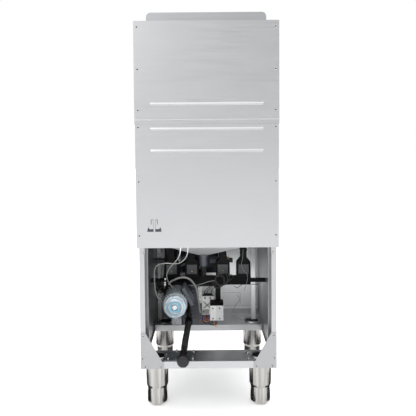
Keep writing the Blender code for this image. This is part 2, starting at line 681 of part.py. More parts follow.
def heating_and_controls():
    pipe, bore, wall = 0.0120, 0.0100, 0.0020
    drum, cone, tip = 0.0650, 0.0110, 0.0230
    start, end, pipe_start, pipe_end = -0.1000, 0.1850, -0.1300, BASE_HALF - SHEET - GAP
    profile = [
        (bore, pipe_start), (pipe, pipe_start), (pipe, start - 0.0010), (drum - 0.020, start + 0.0030),
        (drum - 0.003, start + cone), (drum, start + tip), (drum, end - tip), (drum - 0.003, end - cone),
        (drum - 0.020, end - 0.0030), (pipe, end + 0.0010), (pipe, pipe_end), (bore, pipe_end),
        (bore, end - 0.0010), (drum - 0.021, end - 0.0055), (drum - 0.005, end - cone - wall),
        (drum - wall, end - tip - wall), (drum - wall, start + tip + wall),
        (drum - 0.005, start + cone + wall), (drum - 0.021, start + 0.0055), (bore, start + 0.0010),
    ]
    turned_object("rinse_boiler", profile, 24, (0.5600, 0.5450), "X", STEEL)

    low, window_top, shoulder = 0.5025, 0.574, 0.597
    places = ((0.177, 0.665), (0.078, 0.634), (-0.072, 0.640), (-0.173, 0.665))
    for number, (x, top) in enumerate(places, 1):
        body, neck = 0.0340, 0.0150
        outline = [(x - body, low), (x + body, low), (x + body, window_top), (x + neck, shoulder),
                   (x + neck, top), (x - neck, top), (x - neck, shoulder), (x - body, window_top)]
        cover = prism_object(f"heater_cover_{number}", outline, "Y", 0.3600, 0.4000, BLACK)
        bevel(cover, 0.002)

    left, right, stub_left, stub_right = -0.2096, 0.2135, -0.2812, 0.2812
    low, high, stub_low, stub_high = 0.4585, 0.5020, 0.471, 0.488
    outline = [(left, low), (right, low), (right, stub_low), (stub_right, stub_low),
               (stub_right, stub_high), (right, stub_high), (right, high), (left, high),
               (left, stub_high), (stub_left, stub_high), (stub_left, stub_low), (left, stub_low)]
    rail = prism_object("cover_rail", outline, "Y", 0.3850, 0.4050, BLACK)
    hanger = block_object("relay_hanger", (-0.061, -0.036), (0.3817, 0.3857), (0.305, 0.500), BLACK)
    boolean(rail, hanger, "UNION")

    floor, wall = BASE_LOW + SHEET + GAP, 0.0020
    box = block_object("electrical_box", BOX_X, BOX_D, (floor, BOX_TOP), DARK)
    inside = block_object("box_inside", (BOX_X[0] + wall, BOX_X[1] - wall),
                          (BOX_D[0] + wall, BOX_D[1] + 0.010), (floor + wall, BOX_TOP - wall), DARK)
    boolean(box, inside, "DIFFERENCE")

    front, back = 0.3880, BOX_D[0] - GAP
    outline = [(back, 0.304), (front + 0.018, 0.304), (front + 0.018, 0.335), (front, 0.335),
               (front, 0.402), (front + 0.012, 0.413), (back, 0.413)]
    prism_object("contactor", outline, "X", -0.027, 0.031, WHITE)

    front, back = 0.3180, 0.3814
    outline = [(back, 0.3025), (front, 0.3025), (front, 0.3750), (front + 0.015, 0.3860),
               (back, 0.3860)]
    prism_object("relay", outline, "X", -0.0725, -0.0085, WHITE)


# ---- hood --------------------------------------------------------------------------------
def hood():
    wide, depth = (-HOOD_HALF, HOOD_HALF), (HOOD_REAR, HOOD_FRONT)
    inside = (-HOOD_HALF + SHEET, HOOD_HALF - SHEET)
    inside_d = (HOOD_REAR + SHEET, HOOD_FRONT - SHEET)
    corner, ease = 0.018, 0.008
    bm = bmesh.new()
    rings(bm, [
        rectangle(inside, inside_d, HOOD_TOP - SHEET, corner - SHEET),
        rectangle(inside, inside_d, HOOD_LOW, corner - SHEET),
        rectangle(wide, depth, HOOD_LOW, corner),
        rectangle(wide, depth, HOOD_TOP - ease, corner),
        rectangle((wide[0] + ease * 0.3, wide[1] - ease * 0.3),
                  (depth[0] + ease * 0.3, depth[1] - ease * 0.3), HOOD_TOP - ease * 0.3, corner),
        rectangle((wide[0] + ease, wide[1] - ease), (depth[0] + ease, depth[1] - ease),
                  HOOD_TOP, corner * 0.6),
    ])
    shell = add_object("hood_shell", bm, STEEL, 35)
    opening = block_object("hood_rear_opening", (-0.2715, 0.2715), (0.030, 0.058),
                           (0.800, 1.200), DARK)
    boolean(shell, opening, "DIFFERENCE")

    handle_x, handle_z = 0.215, 0.930
    corners = [point(-handle_x, HOOD_FRONT + GAP, handle_z), point(-handle_x, HANDLE_D, handle_z),
               point(handle_x, HANDLE_D, handle_z), point(handle_x, HOOD_FRONT + GAP, handle_z)]
    tube("hood_handle", [rounded_route(corners, 0.020)], HANDLE_R, POLISHED, 3)

    low, radius, steps = 0.8965, 0.018, 4
    outline = [(-CARRIER_HALF, low), (CARRIER_HALF, low)]
    for cx, first in ((CARRIER_HALF - radius, 0), (-CARRIER_HALF + radius, 90)):
        for step in range(steps + 1):
            angle = math.radians(first + 90 * step / steps)
            outline.append((cx + radius * math.cos(angle),
                            CARRIER_TOP - radius + radius * math.sin(angle)))
    plate = prism_object("hood_carrier", outline, "Y", CARRIER_D, CARRIER_D + SHEET, PANEL_STEEL)
    ledge = block_object("spring_ledge", (-0.150, 0.150), (-0.0360, CARRIER_D + 0.0008),
                         (low - 0.0010, low + 0.0010), PANEL_STEEL)
    boolean(plate, ledge, "UNION")
    for number, x in enumerate((-0.160, 0.160)):
        spacer = block_object(f"hood_arm_{number}", (x - 0.030, x + 0.030),
                              (CARRIER_D + 0.0010, HOOD_REAR - GAP), (1.230, 1.290), PANEL_STEEL)
        boolean(plate, spacer, "UNION")

    for name, s in sided("guide_shoe"):
        x = sorted((s * (CARRIER_HALF + GAP), s * 0.2800))
        bevel(block_object(name, x, (0.0025, 0.0375), (0.920, 1.200), WHITE), 0.001)

    for name, s in sided("counterbalance_spring"):
        bottom, top, radius, eye = 0.8990, 1.5895, 0.011, 0.004
        profile = [(0, bottom), (eye, bottom), (eye, bottom + 0.02), (radius, bottom + 0.03),
                   (radius, top - 0.03), (eye, top - 0.02), (eye, top), (0, top)]
        turned_object(name, profile, 12, (s * 0.100, -0.022), "Z", STEEL)


base_frame()
fascia_and_buttons()
rear_covers()
column_frame()
feet()
wash_tank()
spray_system()
wash_pump()
hoses()
wiring()
heating_and_controls()
hood()
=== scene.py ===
"""Looks of the hood-type commercial dishwasher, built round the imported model.

Metres, +Z up.  The rear of the machine, with its open service base, faces +Y.
"""
import math

import bmesh
import bpy
from mathutils import Matrix, Vector


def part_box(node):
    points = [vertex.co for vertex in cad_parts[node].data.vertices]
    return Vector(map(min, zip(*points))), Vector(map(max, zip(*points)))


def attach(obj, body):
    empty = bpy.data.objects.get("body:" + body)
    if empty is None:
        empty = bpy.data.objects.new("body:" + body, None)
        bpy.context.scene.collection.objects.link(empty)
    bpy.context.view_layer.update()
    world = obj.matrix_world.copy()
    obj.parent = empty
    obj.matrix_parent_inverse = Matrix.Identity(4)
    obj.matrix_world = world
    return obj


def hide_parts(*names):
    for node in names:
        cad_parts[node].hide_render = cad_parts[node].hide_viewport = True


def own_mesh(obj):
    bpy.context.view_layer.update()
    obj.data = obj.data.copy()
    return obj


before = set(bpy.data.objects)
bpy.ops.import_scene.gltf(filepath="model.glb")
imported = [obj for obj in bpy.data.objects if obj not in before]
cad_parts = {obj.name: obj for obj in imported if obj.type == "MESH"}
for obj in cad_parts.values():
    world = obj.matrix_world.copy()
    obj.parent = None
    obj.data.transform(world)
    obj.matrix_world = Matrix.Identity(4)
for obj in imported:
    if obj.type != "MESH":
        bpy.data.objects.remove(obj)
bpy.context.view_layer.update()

# ---- places read from the model --------------------------------------
REAR_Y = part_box("rear_post_left")[1][1]          # rear plane of the base
COVER_Y = REAR_Y + 0.05                          # outer face of the rear covers
BASE_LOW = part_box("side_panel_left")[0][2]
SEAM_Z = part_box("upper_rear_cover")[0][2]
COVER_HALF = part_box("upper_rear_cover")[1][0]


def at(x, d, z):
    """Point from X, the depth in front of the base's rear plane, and Z."""
    return Vector((x, REAR_Y - d, z))


# ---- materials -------------------------------------------------------
class Shade:
    """A Principled material whose nodes are added with short calls."""

    def __init__(self, name, colour, roughness, metallic=0.0):
        """A plain material with its three main values."""
        self.mat = bpy.data.materials.new(name)
        self.mat.use_nodes = True
        self.nodes = self.mat.node_tree.nodes
        self.links = self.mat.node_tree.links
        self.shader = self.nodes["Principled BSDF"]
        self.colour = (*colour, 1.0)
        self.set("Base Color", self.colour)
        self.set("Roughness", roughness)
        self.set("Metallic", metallic)

    def set(self, socket, value):
        """Give one of the shader's own inputs a value."""
        self.shader.inputs[socket].default_value = value

    def add(self, kind, **inputs):
        """A new node with values on some of its inputs; _ stands for a space."""
        node = self.nodes.new(kind)
        for key, value in inputs.items():
            node.inputs[key.replace("_", " ")].default_value = value
        return node

    def link(self, start, end):
        """Join an output to an input."""
        self.links.new(start, end)

    def coords(self, scale, offset=(0, 0, 0)):
        """Object coordinates, stretched along the axes."""
        place = self.add("ShaderNodeTexCoord")
        mapping = self.add("ShaderNodeMapping", Scale=scale, Location=offset)
        self.link(place.outputs["Object"], mapping.inputs["Vector"])
        return mapping.outputs["Vector"]

    def noise(self, scale, detail=3.0, rough=0.5, offset=(0, 0, 0)):
        """Noise whose grain is finer along the axes with a larger scale."""
        node = self.add("ShaderNodeTexNoise", Scale=1.0, Detail=detail, Roughness=rough)
        self.link(self.coords(scale, offset), node.inputs["Vector"])
        return node.outputs["Fac"]

    def remap(self, value, low, high, start=0.3, end=0.7):
        """A value's range from start to end, stretched to low to high."""
        node = self.add("ShaderNodeMapRange", From_Min=start, From_Max=end, To_Min=low, To_Max=high)
        self.link(value, node.inputs["Value"])
        return node.outputs["Result"]

    def mix(self, factor, one, two):
        """Colour between one and two; either may be a colour or an output."""
        node = self.add("ShaderNodeMix")
        node.data_type = "RGBA"
        self.link(factor, node.inputs["Factor"])
        for socket, value in ((node.inputs[6], one), (node.inputs[7], two)):
            if isinstance(value, bpy.types.NodeSocket):
                self.link(value, socket)
            else:
                socket.default_value = (*value[:3], 1.0)
        return node.outputs[2]

    def tint(self, factor, dark, light):
        """Vary the base colour between two multiples of it."""
        one = [c * dark for c in self.colour[:3]]
        two = [c * light for c in self.colour[:3]]
        self.link(self.mix(factor, one, two), self.shader.inputs["Base Color"])

    def bump(self, height, strength, distance):
        """Raise the surface by a texture."""
        node = self.add("ShaderNodeBump", Strength=strength, Distance=distance)
        self.link(height, node.inputs["Height"])
        self.link(node.outputs["Normal"], self.shader.inputs["Normal"])


def sheet_metal(name, colour, roughness, grain, depth=0.12, mottle=0.05, metallic=1.0):
    """Rolled or brushed sheet: long fine streaks along one axis, with faint cloudiness."""
    s = Shade(name, colour, roughness, metallic)
    stretch = {"X": (6, 500, 500), "Y": (500, 6, 500), "Z": (500, 500, 6)}[grain]
    streaks = s.noise(stretch, detail=4.0, rough=0.6)
    clouds = s.noise((3, 3, 3), detail=3.0, offset=(4.1, 2.3, 7.7))
    s.link(s.remap(streaks, roughness - 0.05, roughness + 0.07), s.shader.inputs["Roughness"])
    streak_tint = s.mix(s.remap(streaks, 0, 1), [c * (1 - mottle) for c in colour],
                        [min(1.0, c * (1 + mottle)) for c in colour])
    cloud_tint = s.mix(s.remap(clouds, 0, 0.25), streak_tint, [c * 0.9 for c in colour])
    s.link(cloud_tint, s.shader.inputs["Base Color"])
    s.bump(streaks, depth, 0.0002)
    return s.mat


def polished_tube(name, colour, roughness):
    """Smooth bright steel or brass, slightly smeared."""
    s = Shade(name, colour, roughness, 1.0)
    rings = s.noise((40, 40, 900), detail=2.0)
    smear = s.noise((9, 9, 3), detail=4.0, offset=(1, 5, 2))
    s.link(s.remap(smear, roughness - 0.04, roughness + 0.08), s.shader.inputs["Roughness"])
    s.tint(s.remap(smear, 0, 1), 0.92, 1.03)
    s.bump(rings, 0.05, 0.0002)
    return s.mat


def drawn_tube(name, colour, roughness):
    """Ground leg tube with fine marks along its length."""
    s = Shade(name, colour, roughness, 1.0)
    marks = s.noise((75, 75, 1.5), detail=3.0, rough=0.6)
    s.tint(s.remap(marks, 0, 1, 0.38, 0.62), 0.66, 1.06)
    s.link(s.remap(marks, roughness - 0.05, roughness + 0.06), s.shader.inputs["Roughness"])
    s.bump(marks, 0.08, 0.0002)
    return s.mat


def galvanised(name, colour, metallic=1.0):
    """Zinc coat with its patchwork of crystals."""
    s = Shade(name, colour, 0.42, metallic)
    cells = s.add("ShaderNodeTexVoronoi", Scale=1.0)
    s.link(s.coords((110, 110, 110)), cells.inputs["Vector"])
    split = s.add("ShaderNodeSeparateColor")
    s.link(cells.outputs["Color"], split.inputs["Color"])
    s.tint(split.outputs[0], 0.72, 1.2)
    s.link(s.remap(split.outputs[1], 0.34, 0.52, 0, 1), s.shader.inputs["Roughness"])
    return s.mat


def moulded(name, colour, roughness, grain=900, depth=0.12, vary=0.1, sheen=0.5):
    """Moulded plastic or rubber with a fine surface texture and slight colour drift."""
    s = Shade(name, colour, roughness)
    s.set("Specular IOR Level", sheen)
    fine = s.noise((grain, grain, grain), detail=2.0)
    broad = s.noise((14, 14, 14), detail=3.0, offset=(3, 1, 8))
    s.tint(s.remap(broad, 0, 1), 1 - vary, 1 + vary)
    s.link(s.remap(broad, roughness - 0.04, roughness + 0.06), s.shader.inputs["Roughness"])
    s.bump(fine, depth, 0.0003)
    return s.mat


def cast_metal(name, colour, roughness, metallic=0.85):
    """Die-cast aluminium, slightly pitted."""
    s = Shade(name, colour, roughness, metallic)
    pits = s.noise((420, 420, 420), detail=3.0)
    broad = s.noise((22, 22, 22), detail=4.0, offset=(6, 2, 1))
    s.tint(s.remap(broad, 0, 1), 0.86, 1.06)
    s.link(s.remap(broad, roughness - 0.06, roughness + 0.1), s.shader.inputs["Roughness"])
    s.bump(pits, 0.25, 0.0004)
    return s.mat


PANEL = sheet_metal("stainless_panel", (0.505, 0.512, 0.522), 0.4, "X", mottle=0.03)
PANEL_V = sheet_metal("stainless_upright", (0.465, 0.47, 0.478), 0.38, "Z")
# darker copy of the panel steel: painted shade on the corner gussets
SHADED_GUSSET = sheet_metal("gusset_steel_painted_shade", (0.385, 0.39, 0.398), 0.42, "Z")
PANEL_DEEP = sheet_metal("stainless_depthwise", (0.5, 0.506, 0.515), 0.38, "Y")
INNER = sheet_metal("stainless_inner", (0.62, 0.63, 0.64), 0.38, "X", depth=0.06)
HOOD = sheet_metal("stainless_hood", (0.46, 0.465, 0.475), 0.34, "X", depth=0.07)
TUBE = polished_tube("polished_tube", (0.6, 0.585, 0.565), 0.16)
LEG = drawn_tube("leg_tube", (0.515, 0.502, 0.482), 0.2)
TAB = sheet_metal("stainless_carrier", (0.445, 0.45, 0.46), 0.42, "X")
# near-white, half-metal copy of the stainless: painted light inside the base
PAINTED_LIGHT_STEEL = sheet_metal("painted_light_steel", (0.88, 0.89, 0.9), 0.45, "Z", metallic=0.3)
# lighter, half-metal copy of the stainless: painted light on the wash tank
LIT_TANK = sheet_metal("tank_steel_painted_light", (0.56, 0.57, 0.58), 0.48, "X", depth=0.06, metallic=0.45)
# lighter, smoother steel for the ribs' upward facets: a painted highlight
RIB_HIGHLIGHT = sheet_metal("rib_painted_highlight", (0.585, 0.59, 0.595), 0.22, "X", depth=0.03, mottle=0.01)
# near-black copy of the stainless: painted shade for the boiler and drain sump
SHADED_VESSEL = sheet_metal("vessel_steel_painted_shade", (0.085, 0.09, 0.102), 0.42, "X", mottle=0.08)
# lighter steel: painted highlight on the seam's folded lip and the rear screw heads
FOLD_HIGHLIGHT = sheet_metal("folded_edge_painted_highlight", (0.62, 0.626, 0.634), 0.34, "X")
COIL = moulded("capillary_sheath", (0.012, 0.012, 0.013), 0.28, sheen=0.6)
ZINC = galvanised("zinc_coat", (0.4, 0.42, 0.44))
BLACK = moulded("black_moulding", (0.004, 0.004, 0.0045), 0.5, sheen=0.14)
RUBBER = moulded("hose_rubber", (0.009, 0.009, 0.01), 0.42, grain=500, depth=0.25, sheen=0.45)
GREY = moulded("grey_moulding", (0.33, 0.33, 0.32), 0.48)
CABLE = moulded("cable_sheath", (0.25, 0.25, 0.24), 0.42, vary=0.15)
WHITE = moulded("white_moulding", (0.78, 0.79, 0.77), 0.42, vary=0.04)
DARK_BOX = moulded("dark_enclosure", (0.06, 0.068, 0.082), 0.36, grain=300, depth=0.3)
CAST = cast_metal("cast_aluminium", (0.6, 0.64, 0.67), 0.36)
BRIGHT_CAST = cast_metal("bright_casting", (0.57, 0.63, 0.67), 0.4, metallic=0.55)
SCREW = polished_tube("screw_steel", (0.55, 0.55, 0.54), 0.24)
BRASS = polished_tube("brass_screw", (0.75, 0.56, 0.25), 0.3)
TINTED = moulded("boot_window", (0.045, 0.047, 0.052), 0.3, grain=400, depth=0.2, vary=0.3)
CLEAR = moulded("pale_lining", (0.48, 0.49, 0.5), 0.35, vary=0.08)
BLUE_PAINT = moulded("blue_enamel", (0.16, 0.46, 0.62), 0.28, vary=0.12)
# dark blue-grey bands laid in the end bell's grooves
STEEL_BLUE = moulded("dark_blue_groove", (0.1, 0.17, 0.22), 0.4, vary=0.2)
DEEP_BLUE = moulded("blue_insulation", (0.01, 0.045, 0.42), 0.4)
ORANGE = moulded("orange_insulation", (0.62, 0.17, 0.01), 0.4)
RED = moulded("red_insulation", (0.5, 0.03, 0.02), 0.4)
PALE_BOX = moulded("pale_grey_moulding", (0.6, 0.61, 0.62), 0.45, vary=0.05)
# spangled zinc, lifted to near white as painted light on the shaded terminal plate
LIT_SPANGLE = galvanised("spangled_zinc_painted_light", (0.92, 0.92, 0.92), metallic=0.35)


# ---- making pieces ---------------------------------------------------
def mesh_from(name, bm, *materials):
    """Turn a bmesh into a mesh with its materials, and free the bmesh."""
    mesh = bpy.data.meshes.new(name)
    for mat in materials:
        mesh.materials.append(mat)
    bm.to_mesh(mesh)
    bm.free()
    return mesh


def put(name, data):
    """New object in the scene."""
    obj = bpy.data.objects.new(name, data)
    bpy.context.scene.collection.objects.link(obj)
    return obj


def piece(name, bm, mat, body="frame", smooth=35):
    """Turn a bmesh into a piece that rides on a body."""
    bmesh.ops.recalc_face_normals(bm, faces=bm.faces)
    mesh = mesh_from(name, bm, mat)
    if smooth:
        mesh.shade_smooth()
        mesh.set_sharp_from_angle(angle=math.radians(smooth))
    obj = put(name, mesh)
    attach(obj, body)
    return obj


def soften(obj, width):
    """Round an object's hard edges."""
    mod = obj.modifiers.new("soften", "BEVEL")
    mod.width = width
    mod.segments = 2
    mod.limit_method = "ANGLE"
    mod.angle_limit = math.radians(40)
    mod.harden_normals = True
    return obj


def dress(mat, *nodes):
    """Give CAD nodes their material."""
    for name in nodes:
        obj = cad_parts[name]
        if obj.material_slots:
            for slot in obj.material_slots:
                slot.material = mat
        else:
            obj.data.materials.append(mat)


def axes_for(direction):
    """Matrix whose Z column points along a direction."""
    return Vector(direction).to_track_quat("Z", "Y").to_matrix().to_4x4()


def lathe(bm, profile, centre, direction, segments, waves=0, wave_depth=0.0):
    """Turn (radius, height) pairs round an axis; radius 0 ends close it, otherwise it is a ring."""
    turn = Matrix.Translation(centre) @ axes_for(direction)
    loops = []
    for radius, height in profile:
        if radius <= 0:
            loops.append([bm.verts.new(turn @ Vector((0, 0, height)))])
            continue
        loop = []
        for i in range(segments):
            angle = 2 * math.pi * i / segments
            r = radius * (1 + wave_depth * math.cos(waves * angle)) if waves else radius
            loop.append(bm.verts.new(turn @ Vector((r * math.cos(angle), r * math.sin(angle), height))))
        loops.append(loop)
    pairs = list(zip(loops, loops[1:]))
    if profile[0][0] > 0 and profile[-1][0] > 0:
        pairs.append((loops[-1], loops[0]))
    for low, high in pairs:
        for i in range(segments):
            j = (i + 1) % segments
            if len(low) == 1:
                bm.faces.new((low[0], high[j], high[i]))
            elif len(high) == 1:
                bm.faces.new((low[i], low[j], high[0]))
            else:
                bm.faces.new((low[i], low[j], high[j], high[i]))


def brick(bm, low, high):
    """Box between two corners."""
    xs, ys, zs = zip(low, high)
    corner = [bm.verts.new((xs[i], ys[j], zs[k])) for i in (0, 1) for j in (0, 1) for k in (0, 1)]
    for a, b, c, d in ((0, 1, 3, 2), (4, 6, 7, 5), (0, 4, 5, 1), (2, 3, 7, 6), (0, 2, 6, 4), (1, 5, 7, 3)):
        bm.faces.new((corner[a], corner[b], corner[c], corner[d]))


def slab(bm, outline, start, end, plane="XZ"):
    """Extrude an outline; XZ outlines run along Y, XY ones along Z, YZ ones along X."""
    place = {"XZ": lambda a, b, t: (a, t, b), "XY": lambda a, b, t: (a, b, t),
             "YZ": lambda a, b, t: (t, a, b)}[plane]
    one = [bm.verts.new(place(a, b, start)) for a, b in outline]
    two = [bm.verts.new(place(a, b, end)) for a, b in outline]
    bm.faces.new(one[::-1])
    bm.faces.new(two)
    for i in range(len(outline)):
        j = (i + 1) % len(outline)
        bm.faces.new((one[i], one[j], two[j], two[i]))


def smooth_route(points, per_leg):
    """Catmull-Rom curve through the route's points."""
    ends = [2 * points[0] - points[1], *points, 2 * points[-1] - points[-2]]
    route = []
    for before, start, end, after in zip(ends, ends[1:], ends[2:], ends[3:]):
        for step in range(per_leg):
            t = step / per_leg
            route.append(0.5 * (2 * start + (end - before) * t
                                + (2 * before - 5 * start + 4 * end - after) * t * t
                                + (3 * start - before - 3 * end + after) * t ** 3))
    return [*route, points[-1]]


def cable(name, routes, radius, mat, per_leg=6, resolution=4):
    """Round cables or hoses, as one curve object."""
    curve = bpy.data.curves.new(name, "CURVE")
    curve.dimensions = "3D"
    curve.bevel_depth = radius
    curve.bevel_resolution = resolution
    curve.use_fill_caps = True
    curve.materials.append(mat)
    for points in routes:
        route = smooth_route([Vector(p) for p in points], per_leg)
        spline = curve.splines.new("POLY")
        spline.points.add(len(route) - 1)
        for knot, place in zip(spline.points, route):
            knot.co = (*place, 1.0)
        spline.use_smooth = True
    obj = put(name, curve)
    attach(obj, "frame")
    return obj


# ---- carried-over nodes ----------------------------------------------
dress(PANEL, "lower_rear_cover", "upper_rear_cover", "rear_bottom_channel", "front_bottom_channel",
      "front_panel", "control_fascia")
dress(TAB, "hood_carrier")
dress(PANEL_V, "rear_post_left", "rear_post_right")
# the corner gussets are darker as painted shade
dress(SHADED_GUSSET, "corner_gusset_left", "corner_gusset_right")
# the boiler and sump are near-black as painted shade
dress(SHADED_VESSEL, "drain_sump", "rinse_boiler")
dress(PANEL_DEEP, "side_panel_left", "side_panel_right")
dress(HOOD, "hood_shell")
# the wash tank is lighter as painted light
dress(LIT_TANK, "wash_tank")
dress(INNER, "chamber_rear_wall", "rack_guide", "tank_strainer", "spray_manifold",
      "lower_spray_arm", "upper_spray_arm")
dress(TUBE, "hood_handle")
for row in ("rear", "front"):
    for side in ("left", "right"):
        dress(LEG, f"foot_housing_{row}_{side}", f"adjusting_foot_{row}_{side}")
dress(ZINC, "column_frame", "pump_bracket")
dress(CAST, "pump_motor", "pump_end_bell", "pump_rotor")
dress(DARK_BOX, "electrical_box", "pump_terminal_box")
dress(BLACK, *(f"heater_cover_{i}" for i in range(1, 5)), "cover_rail", "pump_volute")
dress(RUBBER, "pressure_hose", "suction_hose", "drain_hose")
dress(GREY, "overflow_pipe")
dress(CABLE, "vent_hose", "motor_cable", "sensor_cable")
dress(WHITE, "contactor", "relay", "guide_shoe_left", "guide_shoe_right", "start_button",
      "power_button")
dress(SCREW, "counterbalance_spring_left", "counterbalance_spring_right")


# ---- shared shapes ---------------------------------------------------
BACK = (0, 1, 0)                                 # towards the rear
FRONT = (0, -1, 0)
UP = (0, 0, 1)
SIDES = (-1, 1)
SHEET = 0.0015                                   # thickness of the sheet parts
TRAY_Z = BASE_LOW + SHEET                        # upper face of both trays
GUSSET_Y = REAR_Y + 0.0018                       # outer face of the corner gussets


def both_sides(outline, middle=0.0):
    """An outline on both sides of a centre line."""
    return [[(middle + s * x, z) for x, z in outline] for s in SIDES]


def plan(outlines):
    """Outlines given as X and depth, turned into X and Y."""
    return [[(x, REAR_Y - d) for x, d in outline] for outline in outlines]


def upright(rectangles, start, end):
    """Boxes from (left, low, right, high) rectangles, between two Y planes."""
    return [((left, start, low), (right, end, high)) for left, low, right, high in rectangles]


def hoop(inner, outer, half):
    """Profile of a plain ring, half its length to each side."""
    return [(inner, -half), (outer, -half), (outer, half), (inner, half)]


def blocks(name, boxes, mat, edge):
    """One softened piece made of boxes."""
    bm = bmesh.new()
    for low, high in boxes:
        brick(bm, low, high)
    return soften(piece(name, bm, mat), edge)


def sheets(name, outlines, start, end, plane, mat, edge):
    """One softened piece extruded from outlines."""
    bm = bmesh.new()
    for outline in outlines:
        slab(bm, outline, start, end, plane)
    return soften(piece(name, bm, mat), edge)


def turned(name, rounds, mat, segments, smooth=35):
    """One piece turned from (profile, centre, direction) sets."""
    bm = bmesh.new()
    for profile, centre, direction in rounds:
        lathe(bm, profile, centre, direction, segments)
    return piece(name, bm, mat, smooth=smooth)


def ring_of_bricks(name, low, high, turns, mat):
    """The same box repeated by a list of matrices."""
    bm = bmesh.new()
    for turn in turns:
        first = len(bm.verts)
        brick(bm, low, high)
        bm.verts.ensure_lookup_table()
        for vert in bm.verts[first:]:
            vert.co = turn @ vert.co
    return piece(name, bm, mat, smooth=0)


def hose_ribs(name, knots, per_leg, profile, segments):
    """Ribs standing along a hose's route."""
    route = smooth_route(knots, per_leg)
    rounds = [(profile, here, ahead - here) for here, ahead in zip(route, route[1:])]
    turned(name, rounds, RUBBER, segments)


def run_cables(table):
    """Cables from {name: (material, radius, routes in X, depth and Z)}."""
    for name, (mat, radius, routes) in table.items():
        cable(name, [[at(*p) for p in route] for route in routes], radius, mat)


# ---- fasteners and sheet-metal details -------------------------------
COVER_SCREW_X = 0.2735
COVER_SCREW_ROWS = (1.597, 1.432, 1.27, 1.203, 0.987, 0.771)
BASE_SCREW_SPOTS = ((0.271, 0.3455), (0.2735, 0.2505), (0.2638, 0.216), (0.198, 0.216))
TAB_X, TAB_SCREW_Z = 0.2675, 0.6905
# the third value is the radius of the black discs painted as shade in the screw recesses
SCREW_RADIUS, SCREW_HEIGHT, SHADE_DOT_RADIUS = 0.0054, 0.0026, 0.0032


def screws(name, places, radius, height, direction, mat=SCREW):
    """Pan-head screws with a recess, standing on the given points."""
    head = [(0, 0.35), (0.28, 0.4), (0.4, 0.92), (0.68, 1.0), (0.9, 0.72), (1.0, 0.3), (1.0, 0), (0, 0)]
    profile = [(r * radius, h * height) for r, h in head]
    return turned(name, [(profile, place, direction) for place in places], mat, 14)


def bolts(name, places, across, height, direction):
    """Hexagon heads on washers, with the end of the stud showing."""
    half = across / 2
    washer = [(0, 0.0012), (half * 1.5, 0.0012), (half * 1.5, 0), (0, 0)]
    head = [(0, height), (half * 0.85, height), (half, height * 0.8), (half, 0.001), (0, 0.001)]
    stud = [(0, height * 1.7), (half * 0.4, height * 1.7), (half * 0.5, height * 1.5),
            (half * 0.5, height), (0, height)]
    bm = bmesh.new()
    for place in places:
        for profile, segments in ((washer, 20), (head, 6), (stud, 12)):
            lathe(bm, profile, place, direction, segments)
    return piece(name, bm, SCREW, smooth=30)


def recess_shade_dots(name, places):
    """Black discs on the screw heads: painted shade for their recesses."""
    height = SCREW_HEIGHT * 1.03
    profile = [(0, height), (SHADE_DOT_RADIUS, height), (SHADE_DOT_RADIUS, 0.0), (0, 0.0)]
    turned(name, [(profile, place, BACK) for place in places], BLACK, 6, smooth=30)


def rear_fasteners():
    """Screws of the covers, gussets and posts, and the tabs under the lower cover."""
    rows = {"cover": [(s * COVER_SCREW_X, COVER_Y, z) for z in COVER_SCREW_ROWS for s in SIDES],
            "base": [(s * x, GUSSET_Y, z) for x, z in BASE_SCREW_SPOTS for s in SIDES]}
    for row, places in rows.items():
        # cover and base screw heads in the lighter steel as a painted highlight
        screws(f"{row}_screws", places, SCREW_RADIUS, SCREW_HEIGHT, BACK, FOLD_HIGHLIGHT)
        # black discs on the screw heads: painted shade in their recesses
        recess_shade_dots(f"{row}_screw_shade_dots", places)
    screws("tab_screws", [(s * TAB_X, GUSSET_Y, TAB_SCREW_Z) for s in SIDES], 0.005, 0.0028, BACK)
    tab = [(0.26, 0.716), (0.26, 0.69), (0.2625, 0.682), (0.2675, 0.679), (0.2725, 0.682),
           (0.275, 0.69), (0.275, 0.716)]
    sheets("fixing_tabs", both_sides(tab), REAR_Y + 0.0003, REAR_Y + 0.0017, "XZ", PANEL_V,
           0.0004)


def cover_seam():
    """Folded lip between the two covers, in lighter steel as a painted highlight, with the clips at its
    ends and a black strip along the seam as a painted shadow.
    """
    half = COVER_HALF - 0.0025
    lip = [(COVER_Y - 0.0008, SEAM_Z + 0.0202), (COVER_Y + 0.0018, SEAM_Z + 0.0172),
           (COVER_Y + 0.0018, SEAM_Z + 0.016), (COVER_Y - 0.0008, SEAM_Z + 0.015)]
    # folded lip in the lighter steel as a painted highlight
    sheets("seam_fold", [lip], -half, half, "YZ", FOLD_HIGHLIGHT, 0.0003)
    clips = [(left, SEAM_Z + 0.003, right, SEAM_Z + 0.0085)
             for left, right in ((-0.266, -0.252), (0.252, 0.266))]
    blocks("seam_clips", upright(clips, COVER_Y, COVER_Y + 0.0012), PANEL_DEEP, 0.0003)
    # black strip along the seam: painted shadow of the gap between the covers
    shadow = bmesh.new()
    brick(shadow, (-half, COVER_Y - 0.003, SEAM_Z - 0.0012), (half, COVER_Y - 0.0004, SEAM_Z + 0.0006))
    piece("seam_shadow_strip", shadow, BLACK)


RIB_ROWS = {"upper_rear_cover": (1.296,), "lower_rear_cover": (1.197, 1.11)}
RIB_RISE, RIB_REACH = 0.003, 0.008
CROWN_DROP, CROWN_SHARE = 0.0022, 0.26           # where the crown of a rib goes, and how narrow


